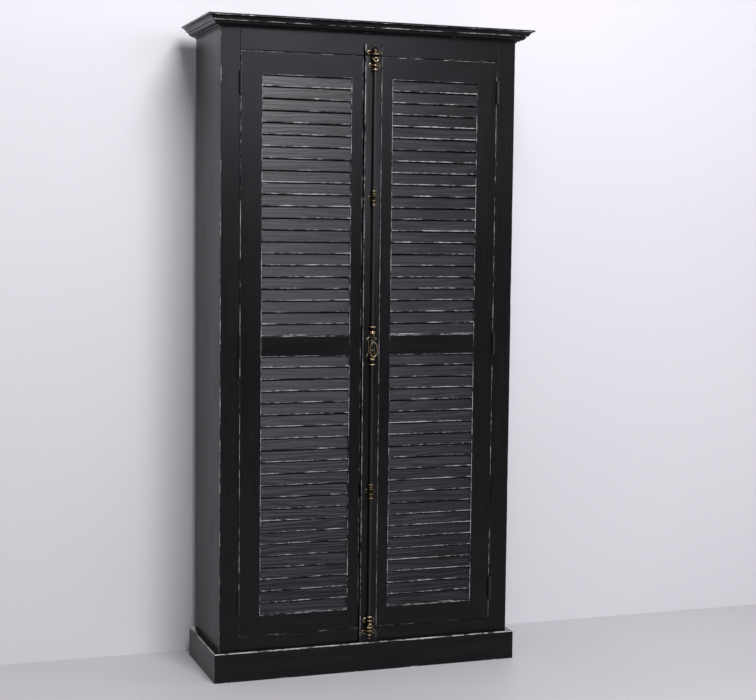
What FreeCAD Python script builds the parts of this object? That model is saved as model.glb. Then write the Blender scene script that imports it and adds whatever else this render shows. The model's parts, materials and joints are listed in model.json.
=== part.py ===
"""Pantry cabinet: a tall two-door cupboard with louvred doors and a cremone bolt.

Frame: +X to the cabinet's right as seen from the front, -Y out of the front,
+Z up. The origin is on the floor, under the middle of the whole cabinet.
All lengths are in millimetres and all angles in degrees.
"""
import FreeCAD, Part
import math
import os
from functools import lru_cache

import Sketcher

from FreeCAD import Placement, Rotation, Vector

DRIVING_SIZES = {
    # carcass
    "carcass_width": 1018, "carcass_depth": 352, "cabinet_height": 2150,
    "board": 20, "back_board": 6,
    "shelf_count": 4, "shelf_front_gap": 18, "shelf_clearance": 0.5,
    "peg_diameter": 5, "peg_depth": 10, "peg_reach": 8, "peg_inset": 45, "peg_clearance": 0.05,
    # face frame, cornice and plinth
    "frame_thickness": 22, "frame_stile": 63, "lower_rail_drop": 27,
    "tenon_length": 25, "tenon_thickness": 8, "tenon_shoulder": 8,
    "cornice_height": 40, "cornice_overhang": 50,
    "plinth_height": 97, "plinth_projection": 20, "plinth_rounding": 6,
    # doors
    "door_gap": 2, "door_rest_gap": 0.5, "door_landing": 10,
    "door_bottom": 143.5, "door_height": 1899, "door_stile": 72,
    "door_top_rail": 73, "door_mid_rail": 66, "door_bottom_rail": 67, "lower_opening": 851.5,
    # louvres
    "slat_count": 22, "slat_width": 36, "slat_thickness": 6, "slat_tilt": 12,
    "slat_rounding": 1.8, "slat_setback": 0.8, "slat_margin": 0.5,
    "slat_housing": 8, "slat_clearance": 0.15,
    # meeting strip and the blocks above and below it
    "astragal_width": 60, "astragal_proud": 14, "astragal_rounding": 5,
    "upper_block": 36, "lower_block": 43,
    # butt hinges
    "hinge_count": 3, "hinge_first": 250, "hinge_pitch": 846, "hinge_length": 70,
    "hinge_stand_off": 5, "knuckle_radius": 4.8, "hinge_pin_radius": 2.5, "pin_clearance": 0.06,
    "knuckle_gap": 0.3, "leaf_thickness": 1.5, "leaf_width": 18, "leaf_recess": 0.3,
    "pin_cap": 3.5, "pin_rim": 1, "pin_flat": 2, "pin_dome": 4.2,
    "screw_pitch": 23, "screw_inset": 10,
    "screw_head": 2.8, "screw_shank": 1.5, "screw_length": 16, "pilot_clearance": 0.05,
    # cremone bolt: rods, racks and pinion
    "rod_radius": 4.5, "rod_stand_off": 9.5, "rod_clearance": 0.08, "rod_end_gap": 1.5,
    "rod_tail_radius": 3.4, "rod_chamfer": 1.5, "rod_shoulder_gap": 2,
    "pinion_radius": 4.5, "pinion_teeth": 12, "pinion_width": 5, "pinion_play": 0.85,
    "pinion_addendum": 0.65, "pinion_dedendum": 0.75,
    "rack_addendum": 0.5, "rack_dedendum": 0.9, "rack_back": 3.5, "backlash": 0.15,
    "rack_bridge": 4, "rack_reach": 19, "rack_lead": 0.5,
    # cremone bolt: lock plate, lock case and its necks
    "lock_axis": 1108, "lock_half_cavity": 25, "plate_thickness": 2.5,
    "plate_drop": 52, "plate_rise": 28, "plate_wing": 13.2,
    "plate_ear_radius": 4.6, "plate_ear_rise": 9, "plate_ear_drop": 47,
    "case_half_width": 10.4, "case_wall": 1.6, "case_depth": 16.7, "case_easing": 5,
    "lower_neck_end": 1031, "upper_neck_end": 1159, "neck_length": 24.6,
    "throat_radius": 7.2, "throat_start": 20,
    # cremone bolt: knob, spindle and drop ring
    "spindle_square": 4, "spindle_journal": 3, "spindle_tail": 2, "journal_clearance": 0.06,
    "journal_lead": 0.6, "knob_lap": 1, "knob_gap": 0.3, "tail_lap": 1,
    "bail_wire": 2, "bail_half_width": 13, "bail_drop": 48, "bail_corner": 5.5,
    "bail_stand_off": 6.8, "bail_clearance": 0.08,
    # cremone bolt: guides, keepers and their screws
    "middle_guide_low": 585, "middle_guide_high": 1557, "middle_guide_ears": 24.5,
    "middle_guide_length": 48.5, "end_guide_length": 40, "end_guide_ears": 15,
    "top_guide_gap": 6.5, "bottom_guide_gap": 3.5, "guide_stem": 4.5,
    "keeper_gap": 1, "keeper_ears": 8, "keeper_stem": 7, "keeper_bore": 5.3,
    "keeper_depth": 15, "stem_height": 10,
    "ear_screw_head": 2.6, "ear_screw_rise": 1.4, "ear_screw_shank": 1.2,
    "ear_screw_length": 12,
}

doc = FreeCAD.newDocument("PantryCabinet")
sheet = doc.addObject("Spreadsheet::Sheet", "size")
for row, (alias, number) in enumerate(DRIVING_SIZES.items(), start=1):
    sheet.set(f"A{row}", alias)
    sheet.set(f"B{row}", str(number))
    sheet.setAlias(f"B{row}", alias)
doc.recompute()

# Places that many pieces share, as expressions on the sheet.
FRONT = "((size.cornice_overhang - size.carcass_depth) / 2)"
BACK = f"({FRONT} + size.carcass_depth)"
HALF_WIDTH = "(size.carcass_width / 2)"
CARCASS_TOP = "(size.cabinet_height - size.board)"
CORNICE_FOOT = "(size.cabinet_height - size.cornice_height)"
DOOR_TOP = "(size.door_bottom + size.door_height)"
DOOR_EDGE = f"({HALF_WIDTH} - size.frame_stile - size.door_gap)"
OPENING_OUTER = f"({DOOR_EDGE} - size.door_stile)"
OPENING_INNER = "(size.door_stile)"
OPENING_WIDTH = f"({OPENING_OUTER} - {OPENING_INNER})"
MEETING_EDGE = "(size.astragal_width / 2)"
LOWER_OPENING_FOOT = "(size.door_bottom + size.door_bottom_rail)"
MID_RAIL_FOOT = f"({LOWER_OPENING_FOOT} + size.lower_opening)"
UPPER_OPENING_FOOT = f"({MID_RAIL_FOOT} + size.door_mid_rail)"
UPPER_OPENING_TOP = f"({DOOR_TOP} - size.door_top_rail)"
UPPER_OPENING = f"({UPPER_OPENING_TOP} - {UPPER_OPENING_FOOT})"
FLOOR_BOARD_TOP = "(size.door_bottom + size.door_landing)"
CEILING_BOARD_FOOT = f"({DOOR_TOP} - size.door_landing)"
ASTRAGAL_FACE = f"({FRONT} - size.astragal_proud)"
ROD_Y = f"({ASTRAGAL_FACE} - size.rod_stand_off)"
PLATE_FACE = f"({ASTRAGAL_FACE} - size.plate_thickness)"
CASE_FACE = f"({PLATE_FACE} - size.case_depth)"
LOCK_HALF_HEIGHT = "(size.lock_half_cavity + size.case_wall)"
BAIL_Y = f"({CASE_FACE} - size.bail_stand_off)"
HINGE_X = f"({DOOR_EDGE} + size.door_gap / 2)"
HINGE_Y = f"({FRONT} - size.hinge_stand_off)"
TOP_ROD_END = f"({DOOR_TOP} - size.rod_end_gap)"
BOTTOM_ROD_END = "(size.door_bottom + size.rod_end_gap)"
TOP_GUIDE_FOOT = f"({DOOR_TOP} - size.top_guide_gap - size.end_guide_length)"
BOTTOM_GUIDE_HEAD = "(size.door_bottom + size.bottom_guide_gap + size.end_guide_length)"
TOP_KEEPER_MOUTH = f"({DOOR_TOP} + size.door_gap + size.keeper_gap)"
BOTTOM_KEEPER_MOUTH = "(size.door_bottom - size.door_gap - size.keeper_gap)"

PRESSURE_ANGLE = math.radians(20)   # of the pinion and its racks
PAST = 5                            # how far a cutting tool reaches past what it cuts
UPSIDE_DOWN = ((0, 1, 0), 180)

# The eared plates under the brass: half length, then half height.
MIDDLE_EARS = (18, 7.5)
END_EARS = (19.5, 8)
KEEPER_EARS = (24, 6.5)

# Where the screws stand: half the distance between a pair, then the height.
LOCK_EARS = ((13.4, "(size.lock_axis + size.plate_ear_rise)"),
             (12, "(size.lock_axis - size.plate_ear_drop)"))
GUIDE_SCREWS = {
    "upper_end_guide": (14.5, f"({TOP_GUIDE_FOOT} + size.end_guide_ears)"),
    "lower_end_guide": (14.5, f"({BOTTOM_GUIDE_HEAD} - size.end_guide_ears)"),
    "middle_rod_guides_low": (13, "(size.middle_guide_low + size.middle_guide_ears)"),
    "middle_rod_guides_high": (13, "(size.middle_guide_high + size.middle_guide_ears)")}
KEEPER_SCREWS = {
    "top_keeper": (19.5, f"({TOP_KEEPER_MOUTH} + size.keeper_ears)"),
    "bottom_keeper": (19.5, f"({BOTTOM_KEEPER_MOUTH} - size.keeper_ears)")}

# Outlines of the turned brass pieces: (radius, height) from the piece's foot.
# A third figure is the radius of the arc that leads to the next point,
# positive when it turns left and negative when it turns right.
MIDDLE_GUIDE_OUTLINE = [
    (0, 0), (8.6, 0, 1.6), (8.6, 3), (6.0, 11), (7.8, 12.5, 2.4), (7.8, 16.5), (6.1, 18),
    (6.1, 24), (8.6, 30, 2.6), (8.6, 33.5), (6.2, 36), (7.2, 37.5, 1.8), (7.2, 40.5),
    (5.8, 42), (5.8, 44), (8.9, 45, 1.9), (8.9, "size.middle_guide_length"),
    (0, "size.middle_guide_length")]
END_GUIDE_OUTLINE = [
    (0, 0), (9.3, 0, 1.9), (9.3, 3.4), (6.4, 5.4), (6.4, 11), (8.4, 13, 2.6), (8.4, 17),
    (6.8, 18.5), (7.6, 24, -40), (12.2, 36), (13.4, 37),
    (13.4, "size.end_guide_length"), (0, "size.end_guide_length")]
UPPER_KEEPER_OUTLINE = [
    (0, 0), (15, 0), (15, 4), (13.4, 5.2), (13.2, 9, 17), (3.6, 25), (2.2, 26.5),
    (2.0, 30, 2), (0, 32)]
LOWER_KEEPER_OUTLINE = [
    (0, 0), (13.6, 0), (13.6, 3), (12, 4.2, -30), (6.4, 13.5), (7, 15, 1.6), (7, 18),
    (3, 20.5), (2.6, 24), (4.2, 27.8, 4.2), (0, 32)]
NECK_OUTLINE = [
    (0, 0), (10.2, 0), (10.2, 3), (8.9, 4.6, 1.9), (8.9, 8), (6.1, 9.6), (6.1, 19.5),
    (10.4, 21, 2), (10.4, "size.neck_length"), (0, "size.neck_length")]
BOSS_OUTLINE = [
    (0, 0), (6.4, 0), (6.4, 1.6), (5.2, 2.4), (6.3, 4.6, 7.2), (4.6, 11.6, 7.4125), (0, 13.2)]
CORNICE_OUTLINE = [
    (0, 0), (-3, 0), (-3, 1.5, 3), (-7, 5), (-12, 5.6), (-12.6, 8, -14), (-27, 17), (-28, 20),
    (-34, 20.6), (-35, 23, 20), (-46.5, 34), ("-size.cornice_overhang", 34.6),
    ("-size.cornice_overhang", "size.cornice_height"), (0, "size.cornice_height")]


def value(expression):
    """The number that an expression on the sheet comes to."""
    return float(sheet.evalExpression(str(expression)))


def bind(thing, names, expressions):
    for name, expression in zip(names, expressions):
        thing.setExpression(name, str(expression))


def place(thing, base, axis=None, angle=0):
    """Turn a piece by a fixed angle and bind where it stands to the sheet."""
    turn = Rotation(Vector(*axis), angle) if axis else Rotation()
    thing.Placement = Placement(Vector(*(value(part) for part in base)), turn)
    bind(thing, [f"Placement.Base.{letter}" for letter in "xyz"], base)
    return thing


def box(label, corner, extent):
    piece = doc.addObject("Part::Box", label)
    bind(piece, ("Length", "Width", "Height"), extent)
    return place(piece, corner)


def cylinder(label, radius, height, base, along="Z"):
    piece = doc.addObject("Part::Cylinder", label)
    bind(piece, ("Radius", "Height"), (radius, height))
    turns = {"Z": (None, 0), "X": ((0, 1, 0), 90), "Y": ((1, 0, 0), -90), "-Y": ((1, 0, 0), 90)}
    return place(piece, base, *turns[along])


def group(label, pieces):
    piece = doc.addObject("Part::Compound", label)
    piece.Links = pieces
    return piece


def fuse(label, pieces):
    piece = doc.addObject("Part::MultiFuse", label)
    piece.Shapes = pieces
    return piece


def cut(label, base, tools):
    piece = doc.addObject("Part::Cut", label)
    piece.Base = base
    piece.Tool = tools[0] if len(tools) == 1 else group(label + "_tools", tools)
    return piece


def draw(sketch, outline):
    """Draw a closed outline whose every point is bound to the sheet.

    A point is (x, y) or (x, y, radius): the radius makes the side that leaves
    it an arc, turning left when positive and right when negative.
    """
    spots = [Vector(value(point[0]), value(point[1]), 0) for point in outline]
    starts = []
    for index, point in enumerate(outline):
        here, there = spots[index], spots[(index + 1) % len(spots)]
        if len(point) == 2:
            sketch.addGeometry(Part.LineSegment(here, there), False)
            starts.append((1, 2))
            continue
        radius = value(point[2])
        chord = there - here
        left = Vector(-chord.y, chord.x, 0).normalize()
        rise = math.sqrt(max(radius ** 2 - chord.Length ** 2 / 4, 0))
        centre = (here + there) * 0.5 + left * math.copysign(rise, radius)
        first, last = (here, there) if radius > 0 else (there, here)
        circle = Part.Circle(centre, Vector(0, 0, 1), abs(radius))
        angles = [math.atan2(spot.y - centre.y, spot.x - centre.x) for spot in (first, last)]
        sketch.addGeometry(Part.ArcOfCircle(circle, *angles), False)
        starts.append((1, 2) if radius > 0 else (2, 1))
    for index, point in enumerate(outline):
        following = (index + 1) % len(outline)
        sketch.addConstraint(Sketcher.Constraint(
            "Coincident", index, starts[index][1], following, starts[following][0]))
        for direction, number in (("X", point[0]), ("Y", point[1])):
            pin_point(sketch, index, starts[index][0], direction, number)
        if len(point) == 3:
            name = f"round_{index}"
            sketch.addConstraint(Sketcher.Constraint("Radius", index, abs(value(point[2]))))
            sketch.renameConstraint(sketch.ConstraintCount - 1, name)
            sketch.setExpression(f"Constraints.{name}", f"abs({point[2]})")
    return sketch


def pin_point(sketch, index, end, direction, number):
    """Fix one coordinate of a sketch point at a bound distance from the origin."""
    distance = value(number)
    if distance == 0:
        axis = {"X": -2, "Y": -1}[direction]
        sketch.addConstraint(Sketcher.Constraint("PointOnObject", index, end, axis))
        return
    ends = (-1, 1, index, end) if distance > 0 else (index, end, -1, 1)
    sketch.addConstraint(Sketcher.Constraint("Distance" + direction, *ends, abs(distance)))
    name = f"{direction}_{index}"
    sketch.renameConstraint(sketch.ConstraintCount - 1, name)
    sketch.setExpression(f"Constraints.{name}", f"abs({number})")


def flat_sketch(label, outline, plane="XY"):
    """A sketch that stands on its own, in the XY or the upright XZ plane."""
    sketch = doc.addObject("Sketcher::SketchObject", label)
    if plane == "XZ":
        sketch.Placement = Placement(Vector(), Rotation(Vector(1, 0, 0), 90))
    return draw(sketch, outline)


def revolve(label, sketch, base, axis=None, angle=0):
    """A solid turned from a half outline about its own Z axis."""
    piece = doc.addObject("Part::Revolution", label)
    piece.Source = sketch
    piece.Axis = Vector(0, 0, 1)
    piece.Angle = 360
    piece.Solid = True
    return place(piece, base, axis, angle)


def turned(label, outline, base, axis=None, angle=0):
    """A piece turned on a lathe, with an outline of its own."""
    return revolve(label, flat_sketch(label + "_outline", outline, "XZ"), base, axis, angle)


def extrude(label, sketch, direction, length, base):
    """A solid that grows from a flat outline."""
    piece = doc.addObject("Part::Extrusion", label)
    piece.Base = sketch
    piece.DirMode = "Custom"
    piece.Dir = Vector(*direction)
    piece.Solid = True
    piece.setExpression("LengthFwd", length)
    return place(piece, base)


def body_sketch(body, name, plane, outline):
    """A sketch on one of a body's own origin planes."""
    origin = {feature.Role: feature for feature in body.Origin.OriginFeatures}
    sketch = body.newObject("Sketcher::SketchObject", name)
    sketch.AttachmentSupport = (origin[plane], [""])
    sketch.MapMode = "FlatFace"
    return draw(sketch, outline)


def pad(body, sketch, length):
    feature = body.newObject("PartDesign::Pad", sketch.Name + "_pad")
    feature.Profile = sketch
    feature.setExpression("Length", length)
    sketch.Visibility = False
    doc.recompute()
    return feature


def repeat_upwards(body, count, span):
    """Repeat everything in a body at even steps along its Z axis."""
    origin = {feature.Role: feature for feature in body.Origin.OriginFeatures}
    pattern = body.newObject("PartDesign::LinearPattern", body.Name + "_rows")
    pattern.TransformMode = "Whole shape"
    pattern.Direction = (origin["Z_Axis"], [""])
    pattern.setExpression("Length", span)
    pattern.setExpression("Occurrences", count)
    body.Tip = pattern
    return body


def moulding(label, outline, length, base, angle, mitres):
    """A moulded board whose outline stands out towards its own -Y.

    It runs along its own X, and an end with a mitre reaches past the length
    by as much as the outline stands out, cut at 45 degrees.
    """
    reach = f"({max(-value(point[0]) for point in outline)})"
    before, after = (reach if mitre else "0" for mitre in mitres)
    body = doc.addObject("PartDesign::Body", label)
    profile = body_sketch(body, label + "_outline", "YZ_Plane", outline)
    profile.setExpression("AttachmentOffset.Base.z", f"-{before}")
    solid = pad(body, profile, f"{length} + {before} + {after}")
    ends = [("0", "-1"), (length, "1")]
    for (corner, side), mitre in zip(ends, mitres):
        if not mitre:
            continue
        far = f"({corner} + {side} * ({reach} + 1))"
        triangle = [(corner, 0), (far, 0), (far, f"-({reach} + 1)")]
        if side == "-1":
            triangle.reverse()
        name = f"{label}_mitre_{'right' if side == '1' else 'left'}"
        pocket = body.newObject("PartDesign::Pocket", name)
        pocket.Profile = body_sketch(body, name + "_outline", "XY_Plane", triangle)
        pocket.Type = "ThroughAll"
        pocket.Midplane = True
        doc.recompute()
        assert pocket.Shape.Volume < solid.Shape.Volume, f"{name} cuts nothing"
        solid = pocket
    return place(body, base, (0, 0, 1), angle)


def slat_rows(label, foot, opening_height, side, growth, rounding):
    """One louvre's slats, or with some growth the housings that take their ends."""
    thickness = f"(size.slat_thickness + 2 * {growth})"
    width = f"(size.slat_width + 2 * {growth})"
    half_deep = f"{thickness} / 2"
    half_high = f"{width} / 2"
    body = doc.addObject("PartDesign::Body", label)
    section = body_sketch(body, label + "_section", "YZ_Plane", [
        (f"-{half_deep}", f"-{half_high}"), (half_deep, f"-{half_high}"),
        (half_deep, half_high), (f"-{half_deep}", half_high)])
    section.AttachmentOffset = Placement(
        Vector(), Rotation(Vector(0, 0, 1), -value("size.slat_tilt")))
    section.setExpression("AttachmentOffset.Rotation.Angle", "-size.slat_tilt")
    end_play = "size.slat_clearance" if rounding else "0"
    solid = pad(body, section, f"{OPENING_WIDTH} + 2 * (size.slat_housing - {end_play})")
    if rounding:
        long_edges = [f"Edge{index}" for index, edge in enumerate(solid.Shape.Edges, start=1)
                      if abs(edge.tangentAt(edge.FirstParameter).x) > 0.99]
        eased = body.newObject("PartDesign::Fillet", label + "_easing")
        eased.Base = (solid, long_edges)
        eased.setExpression("Radius", rounding)
        doc.recompute()
    tilt = "size.slat_tilt * 1 deg"
    rise = f"((size.slat_width * cos({tilt}) + size.slat_thickness * sin({tilt})) / 2)"
    run = f"((size.slat_width * sin({tilt}) + size.slat_thickness * cos({tilt})) / 2)"
    repeat_upwards(body, "size.slat_count",
                   f"{opening_height} - 2 * ({rise} + size.slat_margin)")
    left = OPENING_INNER if side > 0 else f"(-{OPENING_OUTER})"
    return place(body, (f"{left} - size.slat_housing + {end_play}",
                        f"{FRONT} + size.slat_setback + {run}",
                        f"{foot} + {rise} + size.slat_margin"))


def tenon(label, edge_x, side, foot, height):
    """The tongue of a rail, reaching from the rail's end into a stile."""
    corner_x = edge_x if side > 0 else f"{edge_x} - size.tenon_length"
    return box(label,
               (corner_x, f"{FRONT} + (size.frame_thickness - size.tenon_thickness) / 2",
                f"{foot} + size.tenon_shoulder"),
               ("size.tenon_length", "size.tenon_thickness",
                f"{height} - 2 * size.tenon_shoulder"))


def rail(label, left, right, foot, height):
    """A cross rail with a tenon at each end, and the two tenons' own boxes."""
    tongues = [tenon(label + "_left_tenon", left, -1, foot, height),
               tenon(label + "_right_tenon", right, 1, foot, height)]
    bar = box(label + "_bar", (left, FRONT, foot),
              (f"{right} - {left}", "size.frame_thickness", height))
    return fuse(label, [bar] + tongues)


def hinge_recess(label, side, on_door):
    """The shallow seats that the hinge leaves are let into."""
    body = doc.addObject("PartDesign::Body", label)
    section = body_sketch(body, label + "_section", "XY_Plane", [
        (0, 0), ("size.leaf_thickness", 0),
        ("size.leaf_thickness", "size.leaf_width"), (0, "size.leaf_width")])
    pad(body, section, "size.hinge_length")
    repeat_upwards(body, "size.hinge_count",
                   "(size.hinge_count - 1) * size.hinge_pitch")
    return place(body, (leaf_left(side, on_door), FRONT,
                        "size.hinge_first - size.hinge_length / 2"))


def leaf_left(side, on_door):
    """Where the low-X side of a hinge leaf lies."""
    inner = f"({DOOR_EDGE} - size.leaf_thickness)" if on_door else \
        f"({DOOR_EDGE} + size.door_gap)"
    return inner if side > 0 else f"(-{inner} - size.leaf_thickness)"


def knuckle_spans(on_door):
    """Foot and height of a leaf's knuckles: the frame has the outer two of three."""
    third = "((size.hinge_length - 2 * size.knuckle_gap) / 3)"
    if on_door:
        return [(f"({third} + size.knuckle_gap)", third)]
    return [("0", third), (f"(2 * ({third} + size.knuckle_gap))", third)]


def screw_heights():
    """The heights of a leaf's three screws above the leaf's foot."""
    middle = "size.hinge_length / 2"
    return [f"({middle} + {step} * size.screw_pitch)" for step in (-1, 0, 1)]


def hinge_centres():
    return [f"(size.hinge_first + {index} * size.hinge_pitch)"
            for index in range(int(value("size.hinge_count")))]


def hinge_leaf(label, side, on_door, centre):
    """One hinge leaf with its knuckles bored for the pin and its screw holes."""
    foot = f"({centre} - size.hinge_length / 2)"
    left = leaf_left(side, on_door)
    solids = [box(label + "_flap", (left, f"{FRONT} + size.leaf_recess", foot),
                  ("size.leaf_thickness", "size.leaf_width - size.leaf_recess",
                   "size.hinge_length"))]
    for index, (start, height) in enumerate(knuckle_spans(on_door)):
        solids.append(cylinder(f"{label}_knuckle_{index}", "size.knuckle_radius", height,
                               (f"{side} * {HINGE_X}", HINGE_Y, f"{foot} + {start}")))
        solids.append(box(f"{label}_tab_{index}", (left, HINGE_Y, f"{foot} + {start}"),
                          ("size.leaf_thickness",
                           "size.hinge_stand_off + size.leaf_recess", height)))
    holes = [cylinder(label + "_bore", "size.hinge_pin_radius + size.pin_clearance",
                      "size.hinge_length", (f"{side} * {HINGE_X}", HINGE_Y, foot))]
    for index, height in enumerate(screw_heights()):
        holes.append(hinge_screw(f"{label}_seat_{index}", side, on_door,
                                 f"{foot} + {height}", "size.pilot_clearance"))
    return cut(label, fuse(label + "_solid", solids), holes)


@lru_cache(maxsize=None)
def screw_outline(growth):
    """The half outline of a countersunk screw, shared by all screws alike."""
    head = f"(size.screw_head + {growth})"
    shank = f"(size.screw_shank + {growth})"
    length = f"(size.screw_length + {growth})"
    name = "screw_hole_outline" if value(growth) else "screw_outline"
    return flat_sketch(name, [(0, 0), (head, 0), (shank, f"{head} - {shank}"),
                              (shank, f"{length} - {shank}"), (0, length)], "XZ")


def hinge_screw(label, side, on_door, height, growth):
    """A countersunk screw flush with its leaf, or with some growth its hole."""
    into_left = (side > 0) == on_door
    seat = DOOR_EDGE if on_door else f"({DOOR_EDGE} + size.door_gap)"
    return revolve(label, screw_outline(growth),
                   (f"{side} * {seat}", f"{FRONT} + size.screw_inset", height),
                   (0, 1, 0), -90 if into_left else 90)


def hinge_screws(label, side, on_door, growth):
    return [hinge_screw(f"{label}_{row}_{index}", side, on_door,
                        f"{centre} - size.hinge_length / 2 + {height}", growth)
            for row, centre in enumerate(hinge_centres())
            for index, height in enumerate(screw_heights())]


@lru_cache(maxsize=None)
def pin_outline():
    """Half outline of a hinge pin with a domed cap at each end."""
    cap, neck, length = "size.knuckle_radius", "size.hinge_pin_radius", "size.hinge_length"
    flat, dome = "size.pin_flat", "size.pin_dome"
    return flat_sketch("hinge_pin_outline", [
        (0, "-size.pin_cap"), (flat, "-size.pin_cap", dome), (cap, "-size.pin_rim"), (cap, 0),
        (neck, 0), (neck, length), (cap, length), (cap, f"{length} + size.pin_rim", dome),
        (flat, f"{length} + size.pin_cap"), (0, f"{length} + size.pin_cap")], "XZ")


def hinge_pin(label, side, centre):
    return revolve(label, pin_outline(), (f"{side} * {HINGE_X}", HINGE_Y,
                                          f"{centre} - size.hinge_length / 2"))


# ---- carcass ------------------------------------------------------------------

def shelf_feet():
    """The undersides of the shelves, which share the inside height evenly."""
    inside = f"({CEILING_BOARD_FOOT} - {FLOOR_BOARD_TOP})"
    bay = f"(({inside} - size.shelf_count * size.board) / (size.shelf_count + 1))"
    return [f"({FLOOR_BOARD_TOP} + {index + 1} * {bay} + {index} * size.board)"
            for index in range(int(value("size.shelf_count")))]


def shelf_pegs(label, radius, depth, reach):
    """The pegs under the shelves; the same call with more radius makes their holes."""
    wall = f"({HALF_WIDTH} - size.board)"
    inside_front = f"({FRONT} + size.frame_thickness)"
    rows = (f"{inside_front} + size.peg_inset", f"{BACK} - size.peg_inset")
    pegs = {-1: [], 1: []}
    for side in pegs:
        start = f"{wall} - {reach}" if side > 0 else f"-{wall} - {depth}"
        for level, foot in enumerate(shelf_feet(), start=1):
            for row, depth_wise in zip(("front", "back"), rows):
                pegs[side].append(cylinder(
                    f"{label}_{'left' if side < 0 else 'right'}_{row}_{level}", radius,
                    f"{depth} + {reach}",
                    (start, depth_wise, f"{foot} - size.peg_diameter / 2"), "X"))
    return pegs


def carcass():
    inner_left = f"(-{HALF_WIDTH} + size.board)"
    inner_width = "(size.carcass_width - 2 * size.board)"
    inside_front = f"({FRONT} + size.frame_thickness)"
    rest_line = f"({inside_front} + size.door_rest_gap)"
    back_face = f"({BACK} - size.back_board)"
    peg_radius = "(size.peg_diameter / 2)"
    pegs = shelf_pegs("shelf_peg", peg_radius, "size.peg_depth", "size.peg_reach")
    holes = shelf_pegs("peg_hole", f"({peg_radius} + size.peg_clearance)",
                       "(size.peg_depth + size.peg_clearance)", "0")
    pieces = [group("shelf_pegs", pegs[-1] + pegs[1])]
    for name, side, left in (("left", -1, f"-{HALF_WIDTH}"),
                             ("right", 1, f"{HALF_WIDTH} - size.board")):
        blank = box(name + "_side_blank", (left, inside_front, 0),
                    ("size.board", "size.carcass_depth - size.frame_thickness", CARCASS_TOP))
        pieces.append(cut(name + "_side_panel", blank, holes[side]))
    pieces += [
        box("floor_board", (inner_left, rest_line, f"{FLOOR_BOARD_TOP} - size.board"),
            (inner_width, f"{back_face} - {rest_line}", "size.board")),
        box("ceiling_board", (inner_left, rest_line, CEILING_BOARD_FOOT),
            (inner_width, f"{back_face} - {rest_line}", "size.board")),
        box("back_panel", (inner_left, back_face, 0),
            (inner_width, "size.back_board", CARCASS_TOP)),
    ]
    for level, foot in enumerate(shelf_feet(), start=1):
        front = f"({inside_front} + size.shelf_front_gap)"
        pieces.append(box(
            f"shelf_{level}", (f"{inner_left} + size.shelf_clearance", front, foot),
            (f"{inner_width} - 2 * size.shelf_clearance",
             f"{back_face} - size.shelf_clearance - {front}", "size.board")))
    return pieces


def face_frame():
    """Two full-height stiles with a rail tenoned between them above and below the doors."""
    inner = f"({HALF_WIDTH} - size.frame_stile)"
    head_foot = f"({DOOR_TOP} + size.door_gap)"
    rails = {
        "top_front_rail": (head_foot, f"({CARCASS_TOP} - {head_foot})"),
        "bottom_front_rail": ("(size.plinth_height - size.lower_rail_drop)",
                              "(size.door_bottom - size.door_gap - size.plinth_height"
                              " + size.lower_rail_drop)")}
    pieces = [rail(name, f"-{inner}", inner, *span) for name, span in rails.items()]
    for name, side, left in (("left", -1, f"-{HALF_WIDTH}"), ("right", 1, inner)):
        blank = box(name + "_front_stile_blank", (left, FRONT, 0),
                    ("size.frame_stile", "size.frame_thickness", CARCASS_TOP))
        tools = [tenon(f"{name}_{rail_name}_mortise", f"{side} * {inner}", side, *span)
                 for rail_name, span in rails.items()]
        tools.append(hinge_recess(name + "_frame_recess", side, False))
        tools += hinge_screws(name + "_frame_pilot", side, False, "size.pilot_clearance")
        pieces.append(cut(name + "_front_stile", blank, tools))
    return pieces


def cornice_and_plinth():
    plinth = [(0, 0), ("-size.plinth_projection", 0),
              ("-size.plinth_projection", "size.plinth_height - size.plinth_rounding",
               "-size.plinth_rounding"),
              ("-size.plinth_projection + size.plinth_rounding", "size.plinth_height"),
              (0, "size.plinth_height")]
    pieces = []
    for name, outline, foot in (("cornice", CORNICE_OUTLINE, CORNICE_FOOT),
                                ("plinth", plinth, "0")):
        pieces += [
            moulding(name + "_front", outline, "size.carcass_width",
                     (f"-{HALF_WIDTH}", FRONT, foot), 0, (True, True)),
            moulding(name + "_left", outline, "size.carcass_depth",
                     (f"-{HALF_WIDTH}", BACK, foot), -90, (False, True)),
            moulding(name + "_right", outline, "size.carcass_depth",
                     (HALF_WIDTH, FRONT, foot), 90, (True, False))]
    pieces.append(box("cornice_top_board", (f"-{HALF_WIDTH}", FRONT, CARCASS_TOP),
                      ("size.carcass_width", "size.carcass_depth", "size.board")))
    return pieces


# ---- doors --------------------------------------------------------------------

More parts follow.
